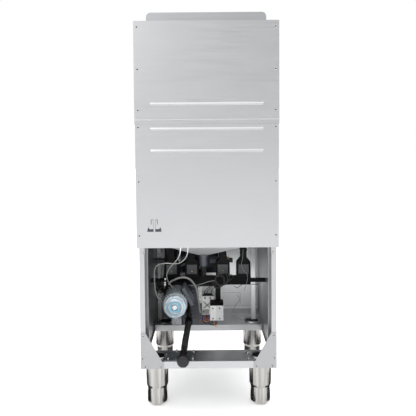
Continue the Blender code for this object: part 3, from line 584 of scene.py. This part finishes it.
def cover_skins():
    """Rear covers whose pressed ribs have a long upper slope, with lighter steel painted on its upward
    facets as a highlight.
    """
    for node, ribs in RIB_ROWS.items():
        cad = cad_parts[node]
        bm = bmesh.new()
        bm.from_mesh(cad.data)
        bmesh.ops.transform(bm, matrix=cad.matrix_world, verts=bm.verts)
        crown = COVER_Y + RIB_RISE
        for vert in bm.verts:
            if abs(vert.co.y - crown) < 0.0003:
                rib = min(ribs, key=lambda z: abs(vert.co.z - z))
                vert.co.z = rib - CROWN_DROP + CROWN_SHARE * (vert.co.z - rib)
        bm.normal_update()
        for face in bm.faces:
            centre = face.calc_center_median()
            near = min(abs(centre.z - z) for z in ribs) < RIB_REACH
            # upward-facing rib facets take the painted highlight steel
            if near and centre.y > COVER_Y + 0.0009 and face.normal.z > 0.1:
                face.material_index = 1
        name = f"{node}_skin"
        skin = put(name, mesh_from(name, bm, PANEL, RIB_HIGHLIGHT))
        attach(skin, "frame")
        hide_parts(node)


KNOCK_X = 0.2136                                 # centre line of the two knock-outs


def knock_outs():
    """Slugs left standing in the two pierced outlines of the lower cover, with a dark block behind them as
    painted shade in the gaps.
    """
    slug = [(0.0043, 0.7974), (0.0168, 0.7974), (0.0204, 0.799), (0.0226, 0.8022), (0.0232, 0.8066),
            (0.0205, 0.811), (0.016, 0.8138), (0.0126, 0.816), (0.0116, 0.82), (0.0116, 0.8345),
            (0.0043, 0.8345)]
    sheets("knock_out_slugs", both_sides(slug, KNOCK_X), COVER_Y - 0.0021, COVER_Y - 0.0007, "XZ", PANEL,
           0.0003)
    # dark block behind the slugs: painted shade in the gaps round them
    gap_shade = bmesh.new()
    for s in SIDES:
        left, right = sorted((KNOCK_X + s * 0.003, KNOCK_X + s * 0.03))
        brick(gap_shade, (left, COVER_Y - 0.0065, 0.783), (right, COVER_Y - 0.0045, 0.84))
    piece("knock_out_gap_shade", gap_shade, DARK_BOX)


REAR_BOLTS = ((0.0671, 0.1715), (0.0694, 0.0921), (0.1437, 0.1789), (0.1763, 0.0941), (-0.174, 0.15),
              (-0.173, 0.084))
FRONT_BOLTS = ((0.182, 0.626), (0.27, 0.628), (-0.184, 0.628), (-0.27, 0.628))
FOOT_SPOTS = [(s * x, d) for s in SIDES for x, d in ((0.2276, 0.13), (0.2345, 0.6))]


def tray_fittings():
    """Bolts, foot mounts and the zinc plate on the two trays."""
    bolts("tray_bolts", [at(x, d, TRAY_Z) for x, d in REAR_BOLTS + FRONT_BOLTS], 0.013, 0.006, UP)
    rim = [(0.036, 0.0045), (0.0385, 0.006), (0.041, 0.004), (0.043, 0.001), (0.043, 0.0),
           (0.035, 0.0)]
    well = [(0, 0.0008), (0.034, 0.0008), (0.035, 0.0), (0, 0.0)]
    spots = [at(x, d, TRAY_Z) for x, d in FOOT_SPOTS]
    turned("foot_mount_rims", [(rim, spot, UP) for spot in spots], PANEL_DEEP, 40)
    turned("foot_mount_wells", [(well, spot, UP) for spot in spots], BLACK, 40)
    plate = [(0.056, 0.08), (0.196, 0.08), (0.196, 0.15), (0.16, 0.188), (0.056, 0.188)]
    sheets("tray_plate", plan([plate]), TRAY_Z + 0.0001, TRAY_Z + 0.0011, "XY", ZINC,
           0.0003)


def chassis_folds():
    """Upright angles and flanges seen through the service opening; the front corner angles and a sheet on
    the front panel's inner face are near-white steel as painted light.
    """
    low, high = TRAY_Z + 0.0005, 0.715
    angles = []
    for s, near, far in ((-1, 0.233, 0.256), (1, 0.254, 0.2725)):
        legs = [(near, 0.62), (far, 0.62), (far, 0.6215), (near + SHEET, 0.6215),
                (near + SHEET, 0.648), (near, 0.648)]
        angles.append([(s * x, d) for x, d in legs])
    sheets("front_corner_angles", plan(angles), low, high, "XY", PAINTED_LIGHT_STEEL, 0.0003)
    ledge = [(0.2812, 0.045), (0.2812, 0.59), (0.2797, 0.59), (0.2797, 0.065), (0.255, 0.065),
             (0.255, 0.0635), (0.2797, 0.0635), (0.2797, 0.045)]
    sheets("side_linings", plan(both_sides(ledge)), low, high, "XY", PANEL_V, 0.0003)
    # sheet on the front panel's inner face: painted light
    lit_face_sheet = [(-0.278, low + 0.03, 0.278, high)]
    blocks("front_panel_painted_light", upright(lit_face_sheet, REAR_Y - 0.7152, REAR_Y - 0.7144), PAINTED_LIGHT_STEEL,
           0.0003)
    face = REAR_Y - 0.7142
    swages = ((-0.181, 0.264, -0.1795, 0.331), (-0.18, 0.3295, -0.076, 0.331),
              (-0.2655, 0.215, -0.264, 0.7), (-0.264, 0.256, 0.264, 0.2575))
    blocks("front_panel_swages", upright(swages, face - 0.0004, face + 0.0022), PANEL_V,
           0.0004)


# ---- service compartment ---------------------------------------------
BOOT_X = (0.177, 0.078, -0.072, -0.173)          # the four element covers
BOOT_Y = REAR_Y - 0.36
BOOT_HALF, BOOT_LOW, BOOT_HIGH, BOOT_RIM = 0.025, 0.519, 0.565, 0.003
RAIL_Y = REAR_Y - 0.385
BOILER_D, BOILER_Z = 0.56, 0.545
BOX_Y = REAR_Y - 0.452                           # lid of the electrical box
CONTACTOR_Y = REAR_Y - 0.388
RELAY_Y = REAR_Y - 0.318
WIRE_RADIUS = 0.0014


def heater_details():
    """Windows, rims, collars and brass screws of the element covers, and the boiler's fittings."""
    rims = []
    for x in BOOT_X:
        left, right = x - BOOT_HALF, x + BOOT_HALF
        rims += [(left - BOOT_RIM, BOOT_LOW - BOOT_RIM, right + BOOT_RIM, BOOT_LOW),
                 (left - BOOT_RIM, BOOT_HIGH, right + BOOT_RIM, BOOT_HIGH + BOOT_RIM),
                 (left - BOOT_RIM, BOOT_LOW, left, BOOT_HIGH),
                 (right, BOOT_LOW, right + BOOT_RIM, BOOT_HIGH)]
    blocks("boot_rims", upright(rims, BOOT_Y, BOOT_Y + 0.003), BLACK, 0.0008)
    windows = [(x - BOOT_HALF, BOOT_LOW, x + BOOT_HALF, BOOT_HIGH) for x in BOOT_X]
    blocks("boot_windows", upright(windows, BOOT_Y, BOOT_Y + 0.0012), TINTED, 0.0005)
    screws("boot_screws", [at(x, 0.3588, 0.533) for x in BOOT_X[:3]], 0.0038, 0.003, BACK, BRASS)

    collars = [(x - 0.017, top - 0.01, x + 0.017, top)
               for x, top in zip(BOOT_X, (0.64, 0.615, 0.615, 0.64))]
    blocks("boot_collars", upright(collars, REAR_Y - 0.402, REAR_Y - 0.358), BLACK, 0.0015)
    lips = ((-0.209, 0.4985, 0.213, 0.503), (-0.209, 0.459, 0.213, 0.462),
            (-0.246, 0.459, -0.214, 0.462))
    blocks("rail_lips", upright(lips, RAIL_Y, REAR_Y - 0.382), BLACK, 0.0008)

    strap = hoop(0.0652, 0.0665, 0.008)
    turned("boiler_straps", [(strap, at(x, BOILER_D, BOILER_Z), (1, 0, 0)) for x in (-0.06, 0.045, 0.15)],
           ZINC, 40)
    union = [(0.0125, 0.012), (0.018, 0.01), (0.018, 0.0), (0.0125, 0.0)]
    ends = [(union, at(x, BOILER_D, BOILER_Z), (way, 0, 0)) for x, way in ((-0.101, -1), (0.186, 1))]
    turned("boiler_unions", ends, BRASS, 6, smooth=30)


def electrical_box():
    """Mounting plate, louvres and lid frame of the electrical box."""
    plate = [(-0.0435, 0.348, 0.051, 0.437)]
    # terminal plate in near-white zinc: its spangle is real, its lightness painted light
    blocks("terminal_plate", upright(plate, BOX_Y, BOX_Y + 0.002), LIT_SPANGLE, 0.0004)
    screws("plate_screws", [(x, BOX_Y + 0.002, z) for x in (-0.037, 0.044) for z in (0.355, 0.43)],
           0.0035, 0.002, BACK)
    louvres = []
    for row in range(9):
        z = 0.266 + 0.0185 * row
        louvres.append([(BOX_Y, z), (BOX_Y + 0.0045, z + 0.002), (BOX_Y + 0.005, z + 0.004),
                        (BOX_Y, z + 0.0115)])
    sheets("box_louvres", louvres, 0.06, 0.124, "YZ", DARK_BOX, 0.0006)
    lid = ((-0.043, 0.434, 0.131, 0.438), (0.127, 0.24, 0.131, 0.434),
           (0.0525, 0.24, 0.056, 0.434))
    blocks("box_lid_frame", upright(lid, BOX_Y, BOX_Y + 0.003), DARK_BOX, 0.0008)


def contactor():
    """Terminals, cover and wiring links of the contactor, with its auxiliary block."""
    y = CONTACTOR_Y
    blocks("contactor_terminals", [((-0.0265, y - 0.02, 0.4025), (0.0305, y + 0.002, 0.408)),
                                   ((-0.02, y - 0.02, 0.408), (0.024, y - 0.001, 0.4128))],
           BLACK, 0.0008)
    blocks("contactor_cover", [((-0.024, y, 0.34), (0.028, y + 0.0022, 0.401)),
                               ((-0.01, y + 0.002, 0.353), (0.014, y + 0.0042, 0.372))],
           WHITE, 0.001)
    screws("contactor_screws", [(x, y + 0.0022, 0.393) for x in (-0.01, 0.016)], 0.0042, 0.0022, BACK,
           BLACK)
    blocks("auxiliary_block", [((-0.004, y - 0.03, 0.306), (0.03, y - 0.0176, 0.3345))], GREY,
           0.0012)
    run_cables({"contactor_links": (BLACK, WIRE_RADIUS, [
        [(0.024, 0.386, 0.376), (0.012, 0.383, 0.365), (-0.002, 0.383, 0.352), (-0.012, 0.385, 0.342)],
        [(-0.012, 0.386, 0.374), (-0.002, 0.3825, 0.364), (0.013, 0.3825, 0.351),
         (0.024, 0.385, 0.343)]])})


def relay():
    """Cover, terminal strip, cap and screws of the relay."""
    y = RELAY_Y
    blocks("relay_cover", [((-0.0715, y, 0.305), (-0.038, y + 0.0024, 0.3735))], PALE_BOX,
           0.001)
    strip = [((-0.034, y, 0.304), (-0.0095, y + 0.0016, 0.3745))]
    for row in range(4):
        z = 0.313 + 0.0165 * row
        strip.append(((-0.031, y + 0.001, z - 0.005), (-0.0125, y + 0.0028, z + 0.005)))
    blocks("relay_terminals", strip, WHITE, 0.0006)
    cap = [(y - 0.0155, 0.3863), (y + 0.001, 0.375), (y + 0.001, 0.3765), (y - 0.015, 0.388),
           (y - 0.06, 0.388), (y - 0.06, 0.3863)]
    sheets("relay_cap", [cap], -0.0725, -0.0085, "YZ", BLACK, 0.0004)
    places = [(x, y + rise, z) for x, rise in ((-0.0545, 0.0024), (-0.022, 0.0028))
              for z in (0.313, 0.3625)]
    screws("relay_screws", places, 0.0036, 0.0016, BACK, DARK_BOX)


def wire_looms():
    """Coloured wires below and above the contactor."""
    run_cables({
        "orange_wires": (ORANGE, WIRE_RADIUS, [
            [(0.018, 0.39, 0.305), (0.024, 0.37, 0.292), (0.015, 0.36, 0.284), (0.002, 0.365, 0.285),
             (-0.008, 0.375, 0.295)],
            [(0.03, 0.4, 0.295), (0.038, 0.38, 0.286), (0.042, 0.365, 0.278)],
            [(-0.025, 0.35, 0.296), (-0.03, 0.342, 0.276), (-0.036, 0.34, 0.266),
             (-0.044, 0.342, 0.27)]]),
        "red_wires": (RED, WIRE_RADIUS, [
            [(0.012, 0.39, 0.304), (0.01, 0.372, 0.295), (0.001, 0.366, 0.29), (-0.01, 0.37, 0.302)]]),
        "blue_wires": (DEEP_BLUE, WIRE_RADIUS, [
            [(0.006, 0.39, 0.306), (0.002, 0.374, 0.299), (-0.004, 0.368, 0.3), (-0.008, 0.372, 0.312)],
            [(0.024, 0.39, 0.305), (0.031, 0.376, 0.296), (0.026, 0.368, 0.287)]]),
        "black_wires": (BLACK, WIRE_RADIUS, [
            [(0.028, 0.405, 0.3), (0.025, 0.395, 0.272), (-0.005, 0.385, 0.26), (-0.035, 0.38, 0.262),
             (-0.05, 0.37, 0.3)],
            [(0.01, 0.4, 0.304), (0.005, 0.385, 0.276), (-0.015, 0.378, 0.27), (-0.026, 0.36, 0.3)],
            [(0.02, 0.4, 0.412), (0.012, 0.39, 0.432), (-0.008, 0.37, 0.452), (-0.027, 0.34, 0.476)],
            [(-0.015, 0.4, 0.412), (-0.018, 0.39, 0.43), (-0.03, 0.36, 0.45), (-0.042, 0.34, 0.472)]]),
    })


COIL_TURNS, COIL_STEPS, COIL_RADIUS, COIL_SWELL = 4, 28, 0.0265, 0.0045
COIL_DRIFT = (0.0068, 0.0042, -0.0045)           # how far each turn moves


def coil_and_wires():
    """Coiled thermostat capillary and the loose wires round it."""
    centre = at(-0.061, 0.31, 0.5065)
    loops = []
    for i in range(COIL_TURNS * COIL_STEPS + 1):
        t = i / COIL_STEPS
        angle = 2 * math.pi * t
        radius = COIL_RADIUS + COIL_SWELL * math.sin(1.7 * t)
        loops.append(centre + Vector((radius * math.cos(angle) + COIL_DRIFT[0] * (t - 2),
                                      COIL_DRIFT[1] * (t - 2),
                                      radius * 1.1 * math.sin(angle) + COIL_DRIFT[2] * (t - 1))))
    cable("thermostat_coil", [loops], 0.0018, COIL, per_leg=2)

    run_cables({
        "thermostat_leads": (COIL, WIRE_RADIUS, [
            [(-0.03, 0.31, 0.5), (-0.026, 0.315, 0.493), (-0.027, 0.325, 0.477), (-0.012, 0.34, 0.4525),
             (0.003, 0.37, 0.4327), (0.006, 0.395, 0.412)],
            [(-0.093, 0.315, 0.505), (-0.0985, 0.33, 0.4916), (-0.0785, 0.345, 0.4744),
             (-0.06, 0.36, 0.45), (-0.056, 0.37, 0.4)],
            [(-0.075, 0.31, 0.533), (-0.1, 0.32, 0.528), (-0.1206, 0.33, 0.5113), (-0.1, 0.34, 0.488),
             (-0.085, 0.35, 0.47)],
            [(-0.1252, 0.33, 0.4666), (-0.1375, 0.325, 0.459), (-0.15, 0.33, 0.464),
             (-0.1646, 0.34, 0.4712)]]),
        "pale_leads": (CABLE, 0.001, [
            [(-0.1678, 0.3, 0.65), (-0.164, 0.305, 0.6), (-0.16, 0.315, 0.5755), (-0.168, 0.33, 0.545),
             (-0.19, 0.34, 0.5157), (-0.185, 0.345, 0.47), (-0.1743, 0.355, 0.4363)],
            [(-0.161, 0.69, 0.324), (-0.1761, 0.695, 0.2952), (-0.156, 0.695, 0.2664),
             (-0.1329, 0.69, 0.2261), (-0.1243, 0.685, 0.2146)],
            [(-0.1243, 0.69, 0.2146), (-0.1386, 0.692, 0.2243), (-0.1586, 0.692, 0.2201),
             (-0.164, 0.69, 0.212)]]),
        "thermostat_cable": (CABLE, 0.002, [
            [(0.185, 0.275, 0.475), (0.1799, 0.29, 0.4689), (0.15, 0.32, 0.469),
             (0.1159, 0.335, 0.4724), (0.088, 0.335, 0.47), (0.0618, 0.332, 0.4705),
             (0.04, 0.328, 0.476), (0.0223, 0.322, 0.4826), (0.005, 0.315, 0.49),
             (-0.0123, 0.308, 0.496), (-0.03, 0.3, 0.501)]]),
    })


PUMP_X, PUMP_Z = 0.146, 0.431
BELL_SEAT = (PUMP_X, REAR_Y - 0.145, PUMP_Z)     # where the end bell meets the motor
OUTLET_D, OUTLET_Z = 0.326, 0.481                # the pressure hose leaves the pump here


def end_bell():
    """Lobed end bell with its blue rings, grooves and screws."""
    bell = bmesh.new()
    profile = [(0.013, 0.0345), (0.014, 0.037), (0.016, 0.036), (0.0175, 0.033), (0.0235, 0.033),
               (0.025, 0.0375), (0.0275, 0.0385), (0.0295, 0.036), (0.036, 0.0355), (0.0376, 0.034),
               (0.0398, 0.034), (0.0412, 0.0352), (0.047, 0.034), (0.0492, 0.0325), (0.0503, 0.029),
               (0.0495, 0.0), (0.0478, 0.0), (0.0478, 0.029), (0.038, 0.031), (0.013, 0.032)]
    lathe(bell, profile, BELL_SEAT, BACK, 72, waves=9, wave_depth=0.014)
    obj = piece("end_bell", bell, BRIGHT_CAST, smooth=50)
    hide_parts("pump_end_bell")

    rings = ([(0.0168, 0.0335), (0.0172, 0.0347), (0.0228, 0.0347), (0.0232, 0.0335)],
             [(0.0376, 0.0338), (0.038, 0.0344), (0.0394, 0.0344), (0.0398, 0.0338)])
    turned("end_bell_rings", [(ring, BELL_SEAT, BACK) for ring in rings], BLUE_PAINT, 48)
    grooves = []
    for inner, outer, height in ((0.024, 0.0249, 0.0336), (0.029, 0.0302, 0.0362),
                                 (0.0402, 0.0411, 0.0347), (0.0472, 0.048, 0.0338)):
        low, high = height - 0.001, height + 0.0004
        grooves.append(([(inner, low), (inner, high), (outer, high), (outer, low)], BELL_SEAT, BACK))
    turned("end_bell_grooves", grooves, STEEL_BLUE, 56)
    places = []
    for i in range(6):
        angle = math.radians(20 + 60 * i)
        places.append((PUMP_X + 0.0445 * math.cos(angle), BELL_SEAT[1] + 0.0342,
                       PUMP_Z + 0.0445 * math.sin(angle)))
    screws("end_bell_screws", places, 0.0034, 0.003, BACK)


def pump_details():
    """Cooling fins, hose clamps and hose ribs of the wash pump."""
    turns = []
    for i in range(30):
        angle = 2 * math.pi * i / 30
        if not 160 < math.degrees(angle) < 255:
            turns.append(Matrix.Translation((PUMP_X, 0, PUMP_Z)) @ Matrix.Rotation(-angle, 4, "Y"))
    ring_of_bricks("motor_fins", (0.0515, REAR_Y - 0.288, -0.0008), (0.057, REAR_Y - 0.15, 0.0008),
                   turns, CAST)

    band = bmesh.new()
    for centre, way, radius in ((at(0.205, OUTLET_D, OUTLET_Z), (1, 0, 0), 0.02),
                                (at(PUMP_X, 0.372, PUMP_Z), FRONT, 0.0245)):
        lathe(band, hoop(radius, radius + 0.0014, 0.004), centre, way, 36)
        brick(band, tuple(centre + Vector((-0.004, -0.004, radius))),
              tuple(centre + Vector((0.004, 0.004, radius + 0.007))))
    piece("pump_clamps", band, SCREW)

    knots = [at(*p) for p in ((0.219, OUTLET_D, OUTLET_Z), (0.231, 0.331, 0.478),
                              (0.238, 0.343, 0.469), (0.24, 0.356, 0.457))]
    hose_ribs("hose_ribs", knots, 4,
              [(0.0186, -0.0013), (0.0208, -0.0006), (0.0208, 0.0006), (0.0186, 0.0013)], 28)


DRAIN_X = 0.1055
DRAIN_END = (DRAIN_X, REAR_Y + 0.034, 0.247)


def drain_details():
    """Ribs, collars and gripped end of the waste hose."""
    knots = [at(0.093, 0.35, 0.322), at(0.0935, 0.315, 0.308), at(0.095, 0.28, 0.298),
             at(0.098, 0.24, 0.288), at(0.1, 0.2, 0.279), at(0.103, 0.16, 0.27),
             at(0.1045, 0.12, 0.263), at(DRAIN_X, 0.08, 0.258)]
    hose_ribs("drain_hose_ribs", knots, 8,
              [(0.0132, -0.0013), (0.0146, -0.0005), (0.0146, 0.0005), (0.0132, 0.0013)], 24)

    collars = []
    for place, way, radius, length in ((at(0.0938, 0.302, 0.304), (0.03, 0.96, -0.28), 0.0185, 0.028),
                                       (at(DRAIN_X, 0.04, 0.2545), (0, 1, -0.03), 0.016, 0.026),
                                       (at(DRAIN_X, 0.005, 0.252), BACK, 0.019, 0.01)):
        half = length / 2
        profile = [(0.0136, -half), (radius - 0.001, -half), (radius, -half + 0.0015),
                   (radius, half - 0.0015), (radius - 0.001, half), (0.0136, half)]
        collars.append((profile, place, way))
    turned("drain_collars", collars, BLACK, 32)

    end = [(0, 0.0002), (0.01, 0.0002), (0.011, 0.0012), (0.015, 0.0012), (0.0165, 0.0002),
           (0.0195, 0.0002), (0.0195, -0.002), (0, -0.002)]
    turned("drain_end_face", [(end, DRAIN_END, BACK)], RUBBER, 40)
    middle = Matrix.Translation((DRAIN_X, REAR_Y + 0.018, DRAIN_END[2]))
    turns = [middle @ Matrix.Rotation(math.pi * i / 12, 4, "Y") for i in range(24)]
    ring_of_bricks("drain_end_grip", (0.0235, -0.011, -0.001), (0.0252, 0.011, 0.001), turns, BLACK)


# ---- hood, wash chamber and front ------------------------------------
SPRING_TOP, SPRING_LOW, SPRING_TURNS, SPRING_STEPS = 1.5895, 0.899, 46, 12
SPRING_RADIUS, SPRING_WIRE = 0.0094, 0.0014


def coil_springs():
    """Counterbalance springs, wound from wire."""
    fall = SPRING_TOP - SPRING_LOW - 2 * SPRING_WIRE
    for side, x in (("left", -0.1), ("right", 0.1)):
        coil = []
        for i in range(SPRING_TURNS * SPRING_STEPS + 1):
            t = i / (SPRING_TURNS * SPRING_STEPS)
            angle = 2 * math.pi * i / SPRING_STEPS
            coil.append(at(x, -0.022, SPRING_TOP - SPRING_WIRE - fall * t)
                        + Vector((SPRING_RADIUS * math.cos(angle), SPRING_RADIUS * math.sin(angle), 0)))
        guide = cable(f"spring_guide_{side}", [coil], SPRING_WIRE, SCREW, per_leg=1, resolution=2)
        mesh = bpy.data.meshes.new_from_object(guide)
        bpy.data.objects.remove(guide)
        obj = put(f"coil_spring_{side}", mesh)
        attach(obj, "frame")
        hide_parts(f"counterbalance_spring_{side}")
        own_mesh(obj)


PANEL_LINE_Z = 0.785                             # display, lamps and buttons


def front_controls():
    """Display and lamps on the fascia, with rings round the buttons."""
    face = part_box("control_fascia")[0][1]
    corners = []
    middles = ((0.027, 0.011), (-0.027, 0.011), (-0.027, -0.011), (0.027, -0.011))
    for quarter, (cx, cz) in enumerate(middles):
        for step in range(5):
            angle = math.radians(90 * quarter + 22.5 * step)
            corners.append((-0.02 + cx + 0.004 * math.cos(angle),
                            PANEL_LINE_Z + cz + 0.004 * math.sin(angle)))
    window = bmesh.new()
    slab(window, corners, face - 0.001, face + 0.0005)
    glass = Shade("display_glass", (0.012, 0.013, 0.016), 0.08)
    glass.tint(glass.remap(glass.noise((30, 30, 30)), 0, 1), 0.9, 1.1)
    piece("display_window", window, glass.mat)
    lamp = [(0, 0.0012), (0.0022, 0.0009), (0.003, 0), (0, 0)]
    turned("status_lamps", [(lamp, (x, face, PANEL_LINE_Z), FRONT) for x in (-0.075, -0.092, -0.109)],
           CLEAR, 16)
    bezels = []
    for x, radius in ((0.06, 0.0114), (0.105, 0.0094)):
        bezel = [(radius, 0.001), (radius + 0.0016, 0.001), (radius + 0.0022, 0), (radius, 0)]
        bezels.append((bezel, (x, face, PANEL_LINE_Z), FRONT))
    turned("button_bezels", bezels, SCREW, 32)


def spray_nozzles():
    """Round jets along both spray arms."""
    jet = [(0, 0.0048), (0.0018, 0.005), (0.0048, 0.0042), (0.0055, 0.0028), (0.0055, 0), (0, 0)]
    for body, node, up in (("lower_arm", "lower_spray_arm", 1), ("upper_arm", "upper_spray_arm", -1)):
        low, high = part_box(node)
        long_way = 0 if high[0] - low[0] > high[1] - low[1] else 1
        middle = [(a + b) / 2 for a, b in zip(low, high)]
        half = (high[long_way] - low[long_way]) / 2
        z = high[2] if up > 0 else low[2]
        jets = bmesh.new()
        for share in (-0.88, -0.66, -0.44, 0.44, 0.66, 0.88):
            place = list(middle)
            place[long_way] += share * half
            place[2] = z - up * 0.003
            lathe(jets, jet, place, (0, 0, up), 16)
        piece(f"{body}_jets", jets, GREY, body)


rear_fasteners()
cover_skins()
cover_seam()
knock_outs()
tray_fittings()
chassis_folds()
heater_details()
electrical_box()
contactor()
relay()
wire_looms()
coil_and_wires()
end_bell()
pump_details()
drain_details()
coil_springs()
front_controls()
spray_nozzles()


# ---- studio and camera -----------------------------------------------
SKY_LEVELS = ((0.0, 0.8), (0.17, 0.72), (0.3, 0.66), (0.45, 0.66), (0.56, 1.1), (0.64, 1.6), (1.0, 1.6))
SKY_STRENGTH = 0.95
MIDDLE_CARDS = ((-0.1, -0.44, 0.1, 0.12), (-0.17, 0.12, 0.17, 0.29))    # left, near, right, far
SIDE_CARDS = ((0.4, -0.48, 0.62, 0.12), (0.29, 0.12, 0.62, 0.29), (0.13, -0.78, 0.34, -0.5))
SOFTBOXES = {                                    # place, aim, size and power
    "rear_softbox": ((1.6, 3.2, 2.6), (0, 0.3, 0.8), (1.6, 1.6), 16),
    "base_softbox": ((0.0, REAR_Y - 0.03, 0.69), (0, REAR_Y - 0.5, 0.4), (0.46, 0.06), 0.46),
    "inner_softbox": ((-0.12, REAR_Y - 0.5, 0.42), (-0.13, REAR_Y - 0.71, 0.33), (0.24, 0.08), 0.18),
    "front_softbox": ((-1.8, -3.0, 2.8), (0, -0.3, 0.9), (1.8, 1.8), 28),
}
LENS, SENSOR = 42.33, 36.0                       # millimetres
SHIFT_X, SHIFT_Y = 0.00165, -0.0644
CAMERA_DISTANCE, CAMERA_HEIGHT = 2.0, 1.072
CAMERA_TILT, CAMERA_ROLL = math.radians(2.46), math.radians(0.44)


def sky():
    """White towards the camera; every other ray meets levels that change with height."""
    world = bpy.data.worlds.new("studio")
    bpy.context.scene.world = world
    world.use_nodes = True
    nodes, links = world.node_tree.nodes, world.node_tree.links
    nodes.clear()
    seen = nodes.new("ShaderNodeBackground")
    seen.inputs["Color"].default_value = (1, 1, 1, 1)
    cast = nodes.new("ShaderNodeBackground")
    cast.inputs["Strength"].default_value = SKY_STRENGTH
    place = nodes.new("ShaderNodeTexCoord")
    split = nodes.new("ShaderNodeSeparateXYZ")
    height = nodes.new("ShaderNodeMapRange")
    height.inputs["From Min"].default_value = -0.2
    height.inputs["From Max"].default_value = 1.0
    ramp = nodes.new("ShaderNodeValToRGB")
    stops = ramp.color_ramp.elements
    ends = {0.0: 0, 1.0: -1}
    for position, level in SKY_LEVELS:
        stop = stops[ends[position]] if position in ends else stops.new(position)
        stop.color = (level, level, level * 1.01, 1)
    path = nodes.new("ShaderNodeLightPath")
    choose = nodes.new("ShaderNodeMixShader")
    out = nodes.new("ShaderNodeOutputWorld")
    for start, given, end, taken in ((place, "Generated", split, "Vector"), (split, "Z", height, "Value"),
                                     (height, "Result", ramp, "Fac"), (ramp, "Color", cast, "Color"),
                                     (path, "Is Camera Ray", choose, "Fac"),
                                     (cast, "Background", choose, 1), (seen, "Background", choose, 2),
                                     (choose, "Shader", out, "Surface")):
        links.new(start.outputs[given], end.inputs[taken])


def prop(name, bm, mat):
    """A studio object, which isn't part of the machine."""
    obj = put(name, mesh_from(name, bm, mat))
    return obj


def floor():
    """Wide pale floor with a slight glow."""
    disc = bmesh.new()
    bmesh.ops.create_circle(disc, cap_ends=True, radius=60, segments=96)
    s = Shade("pale_floor", (0.93, 0.93, 0.93), 0.6)
    s.tint(s.remap(s.noise((2, 2, 2)), 0, 1), 0.995, 1.005)
    s.set("Specular IOR Level", 0.2)
    s.set("Emission Color", (1, 1, 1, 1))
    s.set("Emission Strength", 0.36)
    prop("floor", disc, s.mat).location = (0, 0, -0.0005)


def dark_cards():
    """Cards on the floor that only reflections show, which give the feet their dark bands."""
    cards = bmesh.new()
    mirrored = tuple((-right, near, -left, far) for left, near, right, far in SIDE_CARDS)
    for left, near, right, far in MIDDLE_CARDS + SIDE_CARDS + mirrored:
        brick(cards, (left, near, 0.0002), (right, far, 0.0006))
    felt = Shade("dark_card", (0.004, 0.004, 0.004), 0.9)
    felt.tint(felt.remap(felt.noise((40, 40, 40)), 0, 1), 0.8, 1.2)
    flags = prop("dark_cards", cards, felt.mat)
    for ray in ("camera", "diffuse", "shadow", "transmission", "volume_scatter"):
        setattr(flags, f"visible_{ray}", False)


def softboxes():
    """Area lamps that the camera doesn't see."""
    for name, (place, aim, size, power) in SOFTBOXES.items():
        light = bpy.data.lights.new(name, "AREA")
        light.shape = "RECTANGLE"
        light.size, light.size_y = size
        light.energy = power
        lamp = put(name, light)
        lamp.location = place
        lamp.visible_camera = False
        lamp.rotation_euler = (Vector(aim) - Vector(place)).to_track_quat("-Z", "Y").to_euler()


def camera():
    """Rear view, slightly above mid height."""
    data = bpy.data.cameras.new("camera")
    data.lens = LENS
    data.sensor_width = SENSOR
    data.shift_x = SHIFT_X
    data.shift_y = SHIFT_Y
    cam = put("camera", data)
    facing = (Matrix.Rotation(math.pi, 4, "Z") @ Matrix.Rotation(math.pi / 2 - CAMERA_TILT, 4, "X")
              @ Matrix.Rotation(-CAMERA_ROLL, 4, "Z"))
    cam.matrix_world = Matrix.Translation((0, REAR_Y + CAMERA_DISTANCE, CAMERA_HEIGHT)) @ facing
    bpy.context.scene.camera = cam


bpy.context.scene.view_settings.view_transform = "Standard"
sky()
floor()
dark_cards()
softboxes()
camera()
